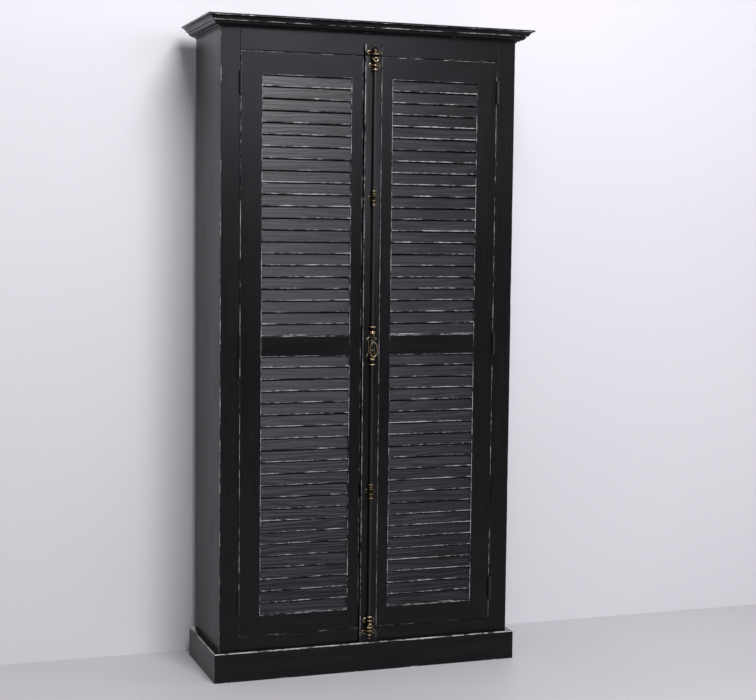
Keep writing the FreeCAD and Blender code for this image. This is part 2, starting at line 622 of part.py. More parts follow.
def door(name, side):
    """A frame-and-louvre door: two stiles, three rails and two banks of fixed slats."""
    inner, outer = sorted((f"{side} * {OPENING_INNER}", f"{side} * {OPENING_OUTER}"), key=value)
    meeting = MEETING_EDGE if side < 0 else f"(-{MEETING_EDGE})"
    meeting_edge = f"(-{MEETING_EDGE} - size.door_gap)" if side < 0 else meeting
    rails = {
        "bottom_rail": ("size.door_bottom", "size.door_bottom_rail"),
        "mid_rail": (MID_RAIL_FOOT, "size.door_mid_rail"),
        "top_rail": (UPPER_OPENING_TOP, "size.door_top_rail")}
    banks = {
        "lower": (LOWER_OPENING_FOOT, "size.lower_opening"),
        "upper": (UPPER_OPENING_FOOT, UPPER_OPENING)}
    pieces = [rail(f"{name}_door_{part}", inner, outer, *span) for part, span in rails.items()]
    housings = []
    for part, span in banks.items():
        pieces.append(slat_rows(f"{name}_{part}_slats", *span, side, "0", "size.slat_rounding"))
        housings.append(slat_rows(f"{name}_{part}_housings", *span, side,
                                  "size.slat_clearance", None))
    stiles = {"hinge": sorted((f"{side} * {DOOR_EDGE}", f"{side} * {OPENING_OUTER}"), key=value),
              "meeting": sorted((meeting_edge, f"{side} * {OPENING_INNER}"), key=value)}
    for part, (left, right) in stiles.items():
        blank = box(f"{name}_{part}_stile_blank", (left, FRONT, "size.door_bottom"),
                    (f"{right} - {left}", "size.frame_thickness", "size.door_height"))
        faces_right = right == inner
        edge, way = (right, -1) if faces_right else (left, 1)
        tools = housings + [tenon(f"{name}_{part}_{rail_name}_mortise", edge, way, *span)
                            for rail_name, span in rails.items()]
        if part == "hinge":
            tools.append(hinge_recess(name + "_door_recess", side, True))
            tools += hinge_screws(name + "_door_pilot", side, True, "size.pilot_clearance")
        pieces.append(cut(f"{name}_door_{part}_stile", blank, tools))
    return pieces


def hinges():
    """Three butt hinges a side; the pins stay with the frame."""
    frame_leaves, frame_screws, pins, pieces = [], [], [], []
    for name, side in (("left", -1), ("right", 1)):
        door_leaves = []
        for index, centre in enumerate(hinge_centres(), start=1):
            frame_leaves.append(hinge_leaf(f"{name}_frame_leaf_{index}", side, False, centre))
            door_leaves.append(hinge_leaf(f"{name}_door_leaf_{index}", side, True, centre))
            pins.append(hinge_pin(f"{name}_hinge_pin_{index}", side, centre))
        frame_screws += hinge_screws(name + "_frame_screw", side, False, "0")
        pieces.append(group(name + "_door_hinge_leaves", door_leaves))
        pieces.append(group(name + "_door_hinge_screws",
                            hinge_screws(name + "_door_screw", side, True, "0")))
    return pieces + [group("frame_hinge_leaves", frame_leaves),
                     group("frame_hinge_screws", frame_screws), group("hinge_pins", pins)]


# ---- meeting strip, keeper blocks and the cremone bolt's fixed brass -------------

def strip_outline():
    """Plan of the astragal: a flat back and two rounded front edges."""
    half, face = MEETING_EDGE, "size.astragal_proud"
    ease = "size.astragal_rounding"
    return [(f"-{half}", 0), (f"-{half}", f"-({face} - {ease})", ease),
            (f"-({half} - {ease})", f"-{face}"), (f"{half} - {ease}", f"-{face}", ease),
            (half, f"-({face} - {ease})"), (half, 0)]


def strip(label, foot, height, pilots):
    """A length of astragal moulding with pilot holes for the brass on it."""
    blank = extrude(label + "_blank", flat_sketch(label + "_outline", strip_outline()),
                    (0, 0, 1), height, ("0", FRONT, foot))
    return cut(label, blank, pilots)


def ear_plate_outline(half_length, half_height):
    """A plate with two round ends, each made of two quarter circles."""
    straight = half_length - half_height
    bow = -half_height
    return [(-straight, -half_height, bow), (-half_length, 0, bow),
            (-straight, half_height), (straight, half_height, bow),
            (half_length, 0, bow), (straight, -half_height)]


def ear_screws(label, spots, growth="0"):
    """Round-head screws at (x, z) on an ear plate; with growth, their holes."""
    screws = []
    for index, (x, z) in enumerate(spots):
        shank = cylinder(f"{label}_{index}_shank", f"size.ear_screw_shank + {growth}",
                         f"size.ear_screw_length + {growth}", (x, PLATE_FACE, z), "Y")
        if growth != "0":
            screws.append(shank)
            continue
        head = doc.addObject("Part::Cone", f"{label}_{index}_head")
        bind(head, ("Radius1", "Radius2", "Height"),
             ("size.ear_screw_head", "0.6 * size.ear_screw_head", "size.ear_screw_rise"))
        place(head, (x, PLATE_FACE, z), (1, 0, 0), 90)
        screws.append(fuse(f"{label}_{index}", [shank, head]))
    return screws


def in_pairs(screws):
    """Every screw's own (x, z) from the table of pairs."""
    return {name: [(-x, z), (x, z)] for name, (x, z) in screws.items()}


def waste_behind_brass(label):
    """Everything behind the astragal's face, where turned brass is cut flat."""
    half_width = 100
    return box(label, (-half_width, ASTRAGAL_FACE, 0),
               (2 * half_width, "size.rod_stand_off + size.rod_radius + 20",
                "size.cabinet_height"))


def brass_on_plate(label, barrel, spots, ears, half_stem, bore):
    """A turned barrel on an eared plate, bored for the rod and flat against the wood.

    The bore is given as its radius, its foot and its length.
    """
    ear_z = spots[0][1]
    outline = flat_sketch(label + "_plate_outline", ear_plate_outline(*ears), "XZ")
    flat = extrude(label + "_plate", outline, (0, -1, 0), "size.plate_thickness",
                   ("0", ASTRAGAL_FACE, ear_z))
    stem = box(label + "_stem", (f"-{half_stem}", ROD_Y, f"{ear_z} - size.stem_height / 2"),
               (f"2 * {half_stem}", f"{ASTRAGAL_FACE} - {ROD_Y}", "size.stem_height"))
    radius, foot, length = bore
    tools = [waste_behind_brass(label + "_waste"),
             cylinder(label + "_bore", radius, length, ("0", ROD_Y, foot))]
    return cut(label, fuse(label + "_solid", [barrel, flat, stem]),
               tools + ear_screws(label + "_hole", spots, "size.pilot_clearance"))


def meeting_strip():
    """The door's astragal and the two fixed blocks that carry its line on."""
    on_door = [spot for spots in in_pairs(GUIDE_SCREWS).values() for spot in spots]
    on_door += lock_spots()
    keepers = in_pairs(KEEPER_SCREWS)
    head_foot = f"({DOOR_TOP} + size.door_gap)"
    lower_top = "(size.door_bottom - size.door_gap)"
    growth = "size.pilot_clearance"
    return [
        strip("astragal", "size.door_bottom", "size.door_height",
              ear_screws("astragal_pilot", on_door, growth)),
        strip("top_keeper_block", head_foot, "size.upper_block",
              ear_screws("top_block_pilot", keepers["top_keeper"], growth)),
        strip("bottom_keeper_block", f"({lower_top} - size.lower_block)", "size.lower_block",
              ear_screws("bottom_block_pilot", keepers["bottom_keeper"], growth))]


def rod_guides():
    """The guides on the door that the rods slide in: one at each end and two between."""
    spots = in_pairs(GUIDE_SCREWS)
    running = "(size.rod_radius + size.rod_clearance)"

    def guide(name, outline, base, turn, ears, foot, length):
        barrel = turned(name + "_barrel", outline, ("0", ROD_Y, base), *turn)
        return brass_on_plate(name, barrel, spots[name], ears, "size.guide_stem",
                              (running, f"{foot} - {PAST}", f"{length} + 2 * {PAST}"))

    low_foot = f"({BOTTOM_GUIDE_HEAD} - size.end_guide_length)"
    ends = [guide("upper_end_guide", END_GUIDE_OUTLINE, TOP_GUIDE_FOOT, (), END_EARS,
                  TOP_GUIDE_FOOT, "size.end_guide_length"),
            guide("lower_end_guide", END_GUIDE_OUTLINE, BOTTOM_GUIDE_HEAD, UPSIDE_DOWN, END_EARS,
                  low_foot, "size.end_guide_length")]
    middle = [guide(f"middle_rod_guides_{name}", MIDDLE_GUIDE_OUTLINE, foot, (), MIDDLE_EARS,
                    foot, "size.middle_guide_length")
              for name, foot in (("low", "size.middle_guide_low"),
                                 ("high", "size.middle_guide_high"))]
    return ends + [group("middle_rod_guides", middle)]


def keepers():
    """The two blind-bored keepers on the frame that the rods shoot into."""
    spots = in_pairs(KEEPER_SCREWS)
    pieces = []
    for name, outline, mouth, turn, bore_foot in (
            ("top_keeper", UPPER_KEEPER_OUTLINE, TOP_KEEPER_MOUTH, (),
             f"({TOP_KEEPER_MOUTH} - {PAST})"),
            ("bottom_keeper", LOWER_KEEPER_OUTLINE, BOTTOM_KEEPER_MOUTH, UPSIDE_DOWN,
             f"({BOTTOM_KEEPER_MOUTH} - size.keeper_depth)")):
        barrel = turned(name + "_barrel", outline, ("0", ROD_Y, mouth), *turn)
        pieces.append(brass_on_plate(name, barrel, spots[name], KEEPER_EARS, "size.keeper_stem",
                                     ("size.keeper_bore", bore_foot,
                                      f"size.keeper_depth + {PAST}")))
    return pieces


def brass_screws():
    """The round-head screws of everything brass, those on the door and those on the frame."""
    on_door = {**in_pairs(GUIDE_SCREWS), "lock_backplate": lock_spots()}
    return [group(label, [screw for name, spots in places.items()
                          for screw in ear_screws(name + "_screw", spots)])
            for label, places in (("cremone_screws", on_door),
                                  ("keeper_screws", in_pairs(KEEPER_SCREWS)))]


def lock_spots():
    return [(side * x, z) for x, z in LOCK_EARS for side in (-1, 1)]


def lock_backplate():
    """A narrow plate with wings, four screwed ears and a bearing for the spindle."""
    axis, half, wing = "size.lock_axis", "size.case_half_width", "size.plate_wing"
    flat = [box("lock_plate_core", (f"-{half}", PLATE_FACE, f"{axis} - size.plate_drop"),
                (f"2 * {half}", "size.plate_thickness", "size.plate_drop + size.plate_rise")),
            box("lock_plate_wings", (f"-{wing}", PLATE_FACE, f"{axis} - size.plate_ear_drop"),
                (f"2 * {wing}", "size.plate_thickness",
                 "size.plate_ear_drop + size.plate_ear_rise"))]
    flat += [cylinder(f"lock_plate_ear_{index}", "size.plate_ear_radius",
                      "size.plate_thickness", (x, PLATE_FACE, z), "Y")
             for index, (x, z) in enumerate(lock_spots())]
    holes = ear_screws("lock_plate_hole", lock_spots(), "size.pilot_clearance")
    holes.append(cylinder("lock_plate_bearing", "size.spindle_tail + size.journal_clearance",
                          f"size.plate_thickness + 2 * {PAST}",
                          ("0", f"{PLATE_FACE} - {PAST}", axis), "Y"))
    return cut("lock_backplate", fuse("lock_plate_solid", flat), holes)


def lock_shell():
    """The block that the case is hollowed from, with its two long front edges rounded."""
    half, half_height = "size.case_half_width", LOCK_HALF_HEIGHT
    blank = box("lock_shell_blank",
                (f"-{half}", CASE_FACE, f"size.lock_axis - {half_height}"),
                (f"2 * {half}", "size.case_depth", f"2 * {half_height}"))
    doc.recompute()
    shell = doc.addObject("Part::Fillet", "lock_shell")
    shell.Base = blank
    front, easing = value(CASE_FACE), value("size.case_easing")
    shell.Edges = [(index, easing, easing)
                   for index, edge in enumerate(blank.Shape.Edges, start=1)
                   if abs(edge.CenterOfMass.y - front) < 0.01
                   and abs(edge.tangentAt(edge.FirstParameter).z) > 0.99]
    return shell


def lock_case():
    """The hollow case with a turned neck above and below, where the rods come out."""
    axis, half = "size.lock_axis", "size.case_half_width"
    lower_end, upper_end = "size.lower_neck_end", "size.upper_neck_end"
    throat_foot = f"({lower_end} + size.throat_start)"
    solids = [
        lock_shell(),
        turned("upper_neck", NECK_OUTLINE, ("0", ROD_Y, f"{axis} + {LOCK_HALF_HEIGHT}")),
        turned("lower_neck", NECK_OUTLINE, ("0", ROD_Y, f"{lower_end} + size.neck_length"),
               *UPSIDE_DOWN),
        cylinder("lower_throat", "size.throat_radius",
                 f"{axis} - {LOCK_HALF_HEIGHT} - {throat_foot}", ("0", ROD_Y, throat_foot))]
    inner_half = f"({half} - size.case_wall)"
    room = "size.astragal_width"
    tools = [
        box("lock_cavity",
            (f"-{inner_half}", f"{CASE_FACE} + size.case_wall", f"{axis} - size.lock_half_cavity"),
            (f"2 * {inner_half}", "size.case_depth", "2 * size.lock_half_cavity")),
        box("lock_plate_room", (f"-{room} / 2", PLATE_FACE, f"{axis} - size.plate_drop"),
            (room, "size.plate_thickness", "size.plate_drop + size.plate_rise")),
        waste_behind_brass("lock_case_waste"),
        cylinder("lock_case_bore", "size.rod_radius + size.rod_clearance",
                 f"{upper_end} - {lower_end} + 2 * {PAST}",
                 ("0", ROD_Y, f"{lower_end} - {PAST}")),
        cylinder("lock_case_bearing", "size.spindle_journal + size.journal_clearance",
                 f"2 * {PAST}", ("0", f"{CASE_FACE} - {PAST}", axis), "Y")]
    return cut("lock_case", fuse("lock_case_solid", solids), tools)


# ---- the cremone bolt's moving pieces ---------------------------------------------

def rack_tooth_points(first, last):
    """Outline of a rack's toothed side, from its low end to its high end.

    A gap is centred at height 0, and the teeth point towards -X.
    """
    radius, teeth = value("size.pinion_radius"), value("size.pinion_teeth")
    step = 2 * math.pi * radius / teeth
    tip, root = radius - value("size.rack_addendum"), radius + value("size.rack_dedendum")
    slope = math.tan(PRESSURE_ANGLE)
    half = (step - value("size.backlash")) / 4
    at_tip = half - (radius - tip) * slope
    at_root = half + (root - radius) * slope
    points = []
    for index in range(math.ceil(first / step - 0.5), math.floor(last / step - 0.5) + 1):
        middle = (index + 0.5) * step
        points += [(root, middle - at_root), (tip, middle - at_tip),
                   (tip, middle + at_tip), (root, middle + at_root)]
    return points


def slab_from(label, points, middle_y, width):
    """A flat solid of some width along Y from its outline in XZ."""
    front = middle_y - width / 2
    corners = [Vector(x, front, z) for x, z in points]
    face = Part.Face(Part.makePolygon(corners + corners[:1]))
    piece = doc.addObject("Part::Feature", label)
    piece.Shape = face.extrude(Vector(0, width, 0))
    return piece


def pinion():
    """A small involute pinion with a square hole for the spindle."""
    radius, teeth = value("size.pinion_radius"), int(value("size.pinion_teeth"))
    base_radius = radius * math.cos(PRESSURE_ANGLE)
    outer = radius + value("size.pinion_addendum")
    root = radius - value("size.pinion_dedendum")
    step = 2 * math.pi / teeth
    half = (step / 4 - value("size.backlash") / 4 / radius
            + math.tan(PRESSURE_ANGLE) - PRESSURE_ANGLE)

    def half_angle(at):
        roll = math.acos(min(base_radius / at, 1))
        return half - (math.tan(roll) - roll)

    flank_steps = 4
    flank = [(root, half)] + [
        (at, half_angle(at)) for at in
        (base_radius + (outer - base_radius) * index / flank_steps
         for index in range(flank_steps + 1))]
    points = []
    for tooth in range(teeth):
        middle = tooth * step
        points += [(at, middle - angle) for at, angle in flank]
        points += [(at, middle + angle) for at, angle in reversed(flank)]
    width = value("size.pinion_width")
    blank = slab_from("pinion_blank", [(at * math.cos(angle), at * math.sin(angle))
                                       for at, angle in points], 0, width)
    place(blank, ("0", ROD_Y, "size.lock_axis"))
    side, through = "size.spindle_square", f"(size.pinion_width + 2 * {PAST})"
    hole = box("pinion_hole",
               (f"-{side} / 2", f"{ROD_Y} - {through} / 2", f"size.lock_axis - {side} / 2"),
               (side, through, side))
    return cut("pinion", blank, [hole])


def rod(label, way, reach):
    """A bolt rod with a thin tail, a bridge and a rack beside the pinion."""
    bridge_foot = "(size.pinion_radius + size.pinion_addendum + size.pinion_play)"
    shoulder = "(size.lock_half_cavity - size.rod_shoulder_gap)"
    thick, tail, chamfer = "size.rod_radius", "size.rod_tail_radius", "size.rod_chamfer"
    turn = () if way > 0 else UPSIDE_DOWN
    spot = ("0", ROD_Y, "size.lock_axis")
    bar = turned(label + "_bar", [
        (0, bridge_foot), (tail, bridge_foot), (tail, shoulder), (thick, shoulder),
        (thick, f"{reach} - {chamfer}"), (f"{thick} - {chamfer}", reach), (0, reach)],
        spot, *turn)
    bridge_head = f"({bridge_foot} + size.rack_bridge)"
    back = value("size.pinion_radius + size.rack_back")
    root = value("size.pinion_radius + size.rack_dedendum")
    low, high = -value("size.rack_reach"), value(bridge_head)
    teeth = rack_tooth_points(low + value("size.rack_lead"), value(bridge_foot))
    width = value("size.pinion_width")
    rack = slab_from(label + "_rack", [(root, low)] + teeth + [(root, high), (back, high),
                                                              (back, low)], 0, width)
    place(rack, spot, *turn)
    left = -value(tail)
    bridge = slab_from(label + "_bridge", [
        (left, value(bridge_foot)), (back, value(bridge_foot)), (back, high), (left, high)],
        0, width)
    place(bridge, spot, *turn)
    return fuse(label, [bar, rack, bridge])


def turn_knob():
    """The boss in front of the case, with its journals and square spindle behind."""
    axis, side = "size.lock_axis", "size.spindle_square"
    boss = turned("knob_boss", BOSS_OUTLINE, ("0", f"{CASE_FACE} - size.knob_gap", axis),
                  (1, 0, 0), 90)
    journal_front = f"({CASE_FACE} - size.knob_gap - size.knob_lap)"
    square_front = f"({CASE_FACE} + size.case_wall + size.journal_lead)"
    tail_front = f"({PLATE_FACE} - size.tail_lap)"
    journal = cylinder("knob_journal", "size.spindle_journal",
                       f"{square_front} - {journal_front}", ("0", journal_front, axis), "Y")
    square = box("knob_square", (f"-{side} / 2", square_front, f"{axis} - {side} / 2"),
                 (side, f"{tail_front} - {square_front}", side))
    tail = cylinder("knob_tail", "size.spindle_tail",
                    f"{ASTRAGAL_FACE} - size.knob_gap - {tail_front}",
                    ("0", tail_front, axis), "Y")
    cross_half = "size.bail_half_width"
    cross_bore = cylinder("knob_cross_bore", "size.bail_wire + size.bail_clearance",
                          f"2 * {cross_half}", (f"-{cross_half}", BAIL_Y, axis), "X")
    return cut("turn_knob", fuse("turn_knob_solid", [boss, journal, square, tail]),
               [cross_bore])


def bail_ring():
    """The oval drop ring that hangs through the boss."""
    half, corner, drop = "size.bail_half_width", "size.bail_corner", "size.bail_drop"
    flat = f"({half} - {corner})"
    low = f"({drop} - {half})"
    path = flat_sketch("bail_path", [
        (f"-{flat}", 0), (flat, 0, f"-{corner}"), (half, f"-{corner}"),
        (half, f"-{low}", f"-{half}"), (0, f"-{drop}", f"-{half}"), (f"-{half}", f"-{low}"),
        (f"-{half}", f"-{corner}", f"-{corner}")], "XZ")
    wire = doc.addObject("Part::Circle", "bail_section")
    wire.setExpression("Radius", "size.bail_wire")
    place(wire, (f"-{flat}", 0, 0), (0, 1, 0), 90)
    ring = doc.addObject("Part::Sweep", "bail_ring")
    doc.recompute()
    ring.Sections = [wire]
    ring.Spine = (path, [f"Edge{index + 1}" for index in range(len(path.Geometry))])
    ring.Solid = True
    return place(ring, ("0", BAIL_Y, "size.lock_axis"))


def check_and_save(pieces):
    doc.recompute()
    for thing in doc.Objects:
        if {"Invalid", "Error"} & set(thing.State):
            raise RuntimeError(f"{thing.Label} failed: {thing.State}")
    for piece in pieces:
        if piece.Shape.isNull() or not piece.Shape.isValid():
            raise RuntimeError(f"{piece.Label} has no sound shape")
    os.makedirs("parts", exist_ok=True)
    for piece in pieces:
        piece.Shape.exportStep(f"parts/{piece.Label}.step")
        print(f"{piece.Label}: {len(piece.Shape.Solids)} solids, {piece.Shape.Volume:.1f} mm3")


PIECES = (carcass() + face_frame() + cornice_and_plinth() + door("left", -1)
          + door("right", 1) + hinges() + meeting_strip() + rod_guides() + keepers()
          + brass_screws() + [lock_backplate(), lock_case()]
          + [rod("upper_rod", 1, f"({TOP_ROD_END} - size.lock_axis)"),
             rod("lower_rod", -1, f"(size.lock_axis - {BOTTOM_ROD_END})"),
             pinion(), turn_knob(), bail_ring()])
check_and_save(PIECES)
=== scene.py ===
import json
import math
import random

import bmesh
import bpy
from mathutils import Matrix, Vector

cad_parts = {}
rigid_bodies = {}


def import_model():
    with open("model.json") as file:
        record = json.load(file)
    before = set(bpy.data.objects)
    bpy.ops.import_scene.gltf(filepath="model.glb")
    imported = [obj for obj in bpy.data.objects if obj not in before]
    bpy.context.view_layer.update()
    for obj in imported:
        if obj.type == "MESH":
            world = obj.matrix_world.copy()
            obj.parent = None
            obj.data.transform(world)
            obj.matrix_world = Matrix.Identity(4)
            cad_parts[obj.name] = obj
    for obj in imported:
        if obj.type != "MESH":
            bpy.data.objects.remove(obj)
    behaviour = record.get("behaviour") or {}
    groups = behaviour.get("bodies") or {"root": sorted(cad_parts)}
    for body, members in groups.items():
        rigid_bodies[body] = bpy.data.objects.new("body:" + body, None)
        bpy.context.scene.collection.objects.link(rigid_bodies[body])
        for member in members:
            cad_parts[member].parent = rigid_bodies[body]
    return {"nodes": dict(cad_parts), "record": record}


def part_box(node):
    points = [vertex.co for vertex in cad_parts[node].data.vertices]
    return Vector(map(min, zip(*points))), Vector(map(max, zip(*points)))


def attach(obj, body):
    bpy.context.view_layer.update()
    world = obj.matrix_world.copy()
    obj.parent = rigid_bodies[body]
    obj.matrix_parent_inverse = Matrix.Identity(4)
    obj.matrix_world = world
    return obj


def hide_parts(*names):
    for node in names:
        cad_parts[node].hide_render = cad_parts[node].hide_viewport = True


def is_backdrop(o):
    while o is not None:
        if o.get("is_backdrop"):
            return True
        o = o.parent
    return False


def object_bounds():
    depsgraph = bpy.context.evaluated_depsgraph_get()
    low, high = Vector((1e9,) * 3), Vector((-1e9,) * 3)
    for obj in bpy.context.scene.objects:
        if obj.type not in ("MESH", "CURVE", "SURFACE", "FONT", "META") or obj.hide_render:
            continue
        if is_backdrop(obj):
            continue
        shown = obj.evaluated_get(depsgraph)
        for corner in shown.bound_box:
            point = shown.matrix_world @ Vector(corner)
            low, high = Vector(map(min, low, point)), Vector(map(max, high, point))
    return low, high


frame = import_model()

cad_box = [list(corner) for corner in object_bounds()]
MM = 0.001

# ---- mesh helpers -----------------------------------------------------------------

FACES = {"left": (0, -1), "right": (0, 1), "front": (1, -1),
         "back": (1, 1), "bottom": (2, -1), "top": (2, 1)}
WEAR_REACH = 2.2 * MM      # how far from an arris the paint can be rubbed through
FAR = 9                    # metres; past the end of any board


def finish_piece(name, verts, faces, wear_and_highlight, grain, material, body, nodes, slot, smooth=True):
    """Turn lists into a piece that rides on a body and stands for CAD nodes."""
    mesh = bpy.data.meshes.new(name)
    mesh.from_pydata([tuple(v) for v in verts], [], faces)
    mesh.polygons.foreach_set("use_smooth", [smooth] * len(faces))
    # This attribute holds rubbed paint, polished brass and the painted highlights on both.
    attribute = mesh.attributes.new("wear_and_highlight", "FLOAT", "POINT")
    attribute.data.foreach_set("value", wear_and_highlight)
    attribute = mesh.attributes.new("grain", "FLOAT_VECTOR", "POINT")
    attribute.data.foreach_set("vector", [number for spot in grain for number in spot])
    tidy = bmesh.new()
    tidy.from_mesh(mesh)
    bmesh.ops.recalc_face_normals(tidy, faces=tidy.faces)
    tidy.to_mesh(mesh)
    tidy.free()
    piece = bpy.data.objects.new(name, mesh)
    bpy.context.scene.collection.objects.link(piece)
    mesh.materials.append(material)
    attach(piece, body)
    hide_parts(*nodes)


def grain_at(spot, axis, shift):
    """Where a point lies in its board's wood: along the grain, then across it."""
    across = [spot[i] for i in range(3) if i != axis]
    return (spot[axis] + shift[0], across[0] + shift[1], across[1] + shift[2])


def grain_shift(name):
    """Where in the wood a board is cut from, so that no two boards look alike."""
    draw = random.Random(name)
    return [draw.uniform(0, 3) for _ in range(3)]


def steps(low, high, radius, extra):
    """Places of the cuts along one side of a board, close together at its edges."""
    near = [0, 0.3 * radius, radius, radius + 0.45 * WEAR_REACH, radius + WEAR_REACH]
    near = [step for step in near if step < (high - low) / 2]
    inside = [cut for cut in extra if low + near[-1] < cut < high - near[-1]]
    return sorted(set([low + step for step in near] + [high - step for step in near] + inside))


def board_mesh(low, high, radius, worn, axis, shift):
    """Vertices, faces, wear with painted highlight, and grain of a board with eased edges."""
    spans = []
    for edge, rub in worn.items():
        sides = [FACES[word] for word in edge.split()]
        amount, start, end = rub if isinstance(rub, tuple) else (rub, -FAR, FAR)
        run = ({0, 1, 2} - {side[0] for side in sides}).pop()
        spans.append((sides, run, amount, start, end))
    cuts = []
    for direction in range(3):
        extra = [place for _, run, _, start, end in spans if run == direction
                 for limit in (start, end) for place in (limit - 2 * MM, limit + 2 * MM)]
        cuts.append(steps(low[direction], high[direction], radius, extra))
    verts, wear_and_highlight, number = [], [], {}

    def vertex(key):
        if key not in number:
            flat = Vector(cuts[i][key[i]] for i in range(3))
            core = Vector(min(max(flat[i], low[i] + radius), high[i] - radius) for i in range(3))
            out = flat - core
            number[key] = len(verts)
            verts.append(core + out.normalized() * radius if out.length else flat)
            rub = 0.0
            for sides, run, amount, start, end in spans:
                if not start <= flat[run] <= end:
                    continue
                gaps = [abs(flat[i] - (low[i] if sign < 0 else high[i])) for i, sign in sides]
                reach = max(0.0, 1 - max(0.0, max(gaps) - radius) / WEAR_REACH)
                rub = max(rub, amount * reach)
            wear_and_highlight.append(rub)
        return number[key]

    faces = []
    for direction in range(3):
        u, v = [i for i in range(3) if i != direction]
        for end in (0, len(cuts[direction]) - 1):
            for i in range(len(cuts[u]) - 1):
                for j in range(len(cuts[v]) - 1):
                    ring = []
                    for di, dj in ((0, 0), (1, 0), (1, 1), (0, 1)):
                        key = [0, 0, 0]
                        key[direction], key[u], key[v] = end, i + di, j + dj
                        ring.append(vertex(tuple(key)))
                    faces.append(ring)
    return verts, faces, wear_and_highlight, [grain_at(spot, axis, shift) for spot in verts]


def board(name, low, high, axis, worn, body, nodes, radius, coat=None):
    """A board with eased edges; worn says which of its arrises are rubbed and painted with a
    highlight, and how much.
    """
    parts = board_mesh(Vector(low), Vector(high), radius, worn, axis, grain_shift(name))
    finish_piece(name, *parts, coat or PAINT, body, nodes, "painted_wood")


def outline_points(outline, fine=8):
    """The points of an outline whose third figures are the radii of arcs."""
    points = []
    for index, point in enumerate(outline):
        here = Vector(point[:2])
        there = Vector(outline[(index + 1) % len(outline)][:2])
        points.append(here)
        if len(point) == 2:
            continue
        chord = there - here
        left = Vector((-chord.y, chord.x)).normalized()
        rise = math.sqrt(max(point[2] ** 2 - chord.length ** 2 / 4, 0))
        centre = (here + there) / 2 + left * math.copysign(rise, point[2])
        start = math.atan2(here.y - centre.y, here.x - centre.x)
        turn = 2 * math.asin(min(1, chord.length / 2 / abs(point[2])))
        turn = math.copysign(turn, point[2])
        points += [centre + abs(point[2]) * Vector((math.cos(start + turn * k / fine),
                                                    math.sin(start + turn * k / fine)))
                   for k in range(1, fine)]
    return points


def loft(rings, closed_ends=True):
    """Faces between equal rings of points, with the two ends closed."""
    count = len(rings[0])
    verts = [spot for ring in rings for spot in ring]
    faces = [[r * count + i, r * count + (i + 1) % count,
              (r + 1) * count + (i + 1) % count, (r + 1) * count + i]
             for r in range(len(rings) - 1) for i in range(count)]
    if closed_ends:
        faces += [list(range(count)), list(range((len(rings) - 1) * count, len(rings) * count))]
    return verts, faces


# ---- materials ---------------------------------------------------------------------

def start_material(name, **uniform):
    """A new material, its node tree and its shader, with uniform sockets set."""
    material = bpy.data.materials.new(name)
    material.use_nodes = True
    tree = material.node_tree
    shader = tree.nodes["Principled BSDF"]
    for socket, number in uniform.items():
        shader.inputs[socket.replace("_", " ")].default_value = number
    return material, tree, shader


def add(tree, kind, inputs=(), **settings):
    """A new node whose inputs are linked to sockets or set to numbers."""
    node = tree.nodes.new("ShaderNode" + kind)
    for name, setting in settings.items():
        setattr(node, name, setting)
    for socket, source in dict(inputs).items():
        if isinstance(source, bpy.types.NodeSocket):
            tree.links.new(source, node.inputs[socket])
        else:
            node.inputs[socket].default_value = source
    return node


def calc(tree, operation, *numbers, clamp=False):
    return add(tree, "Math", dict(enumerate(numbers)), operation=operation,
               use_clamp=clamp).outputs[0]


def mix(tree, factor, first, second):
    return add(tree, "Mix", {0: factor, 6: first, 7: second}, data_type="RGBA").outputs[2]


def stretch(tree, vector, scale):
    return add(tree, "VectorMath", {0: vector, 1: scale},
               operation="MULTIPLY").outputs[0]


def noise(tree, vector, scale, detail=3.0, roughness=0.55):
    return add(tree, "TexNoise", {"Vector": vector, "Scale": scale, "Detail": detail,
                                  "Roughness": roughness}).outputs[0]


def band(tree, source, low, high):
    """0 below low, 1 above high, even between them."""
    return add(tree, "MapRange", {0: source, 1: low, 2: high}).outputs[0]


GREY_WEAR_AND_HIGHLIGHT = (1.48, 1.66)      # wear at which the paint begins to thin, and is thin; the thin grey band is also a painted highlight on the arris
BARE = (1.62, 1.74)        # wear at which the wood begins to show, and is bare
TOUCHED = (0.02, 0.10)     # nearness to a rubbed arris at which wear and its painted highlight begin, and are full
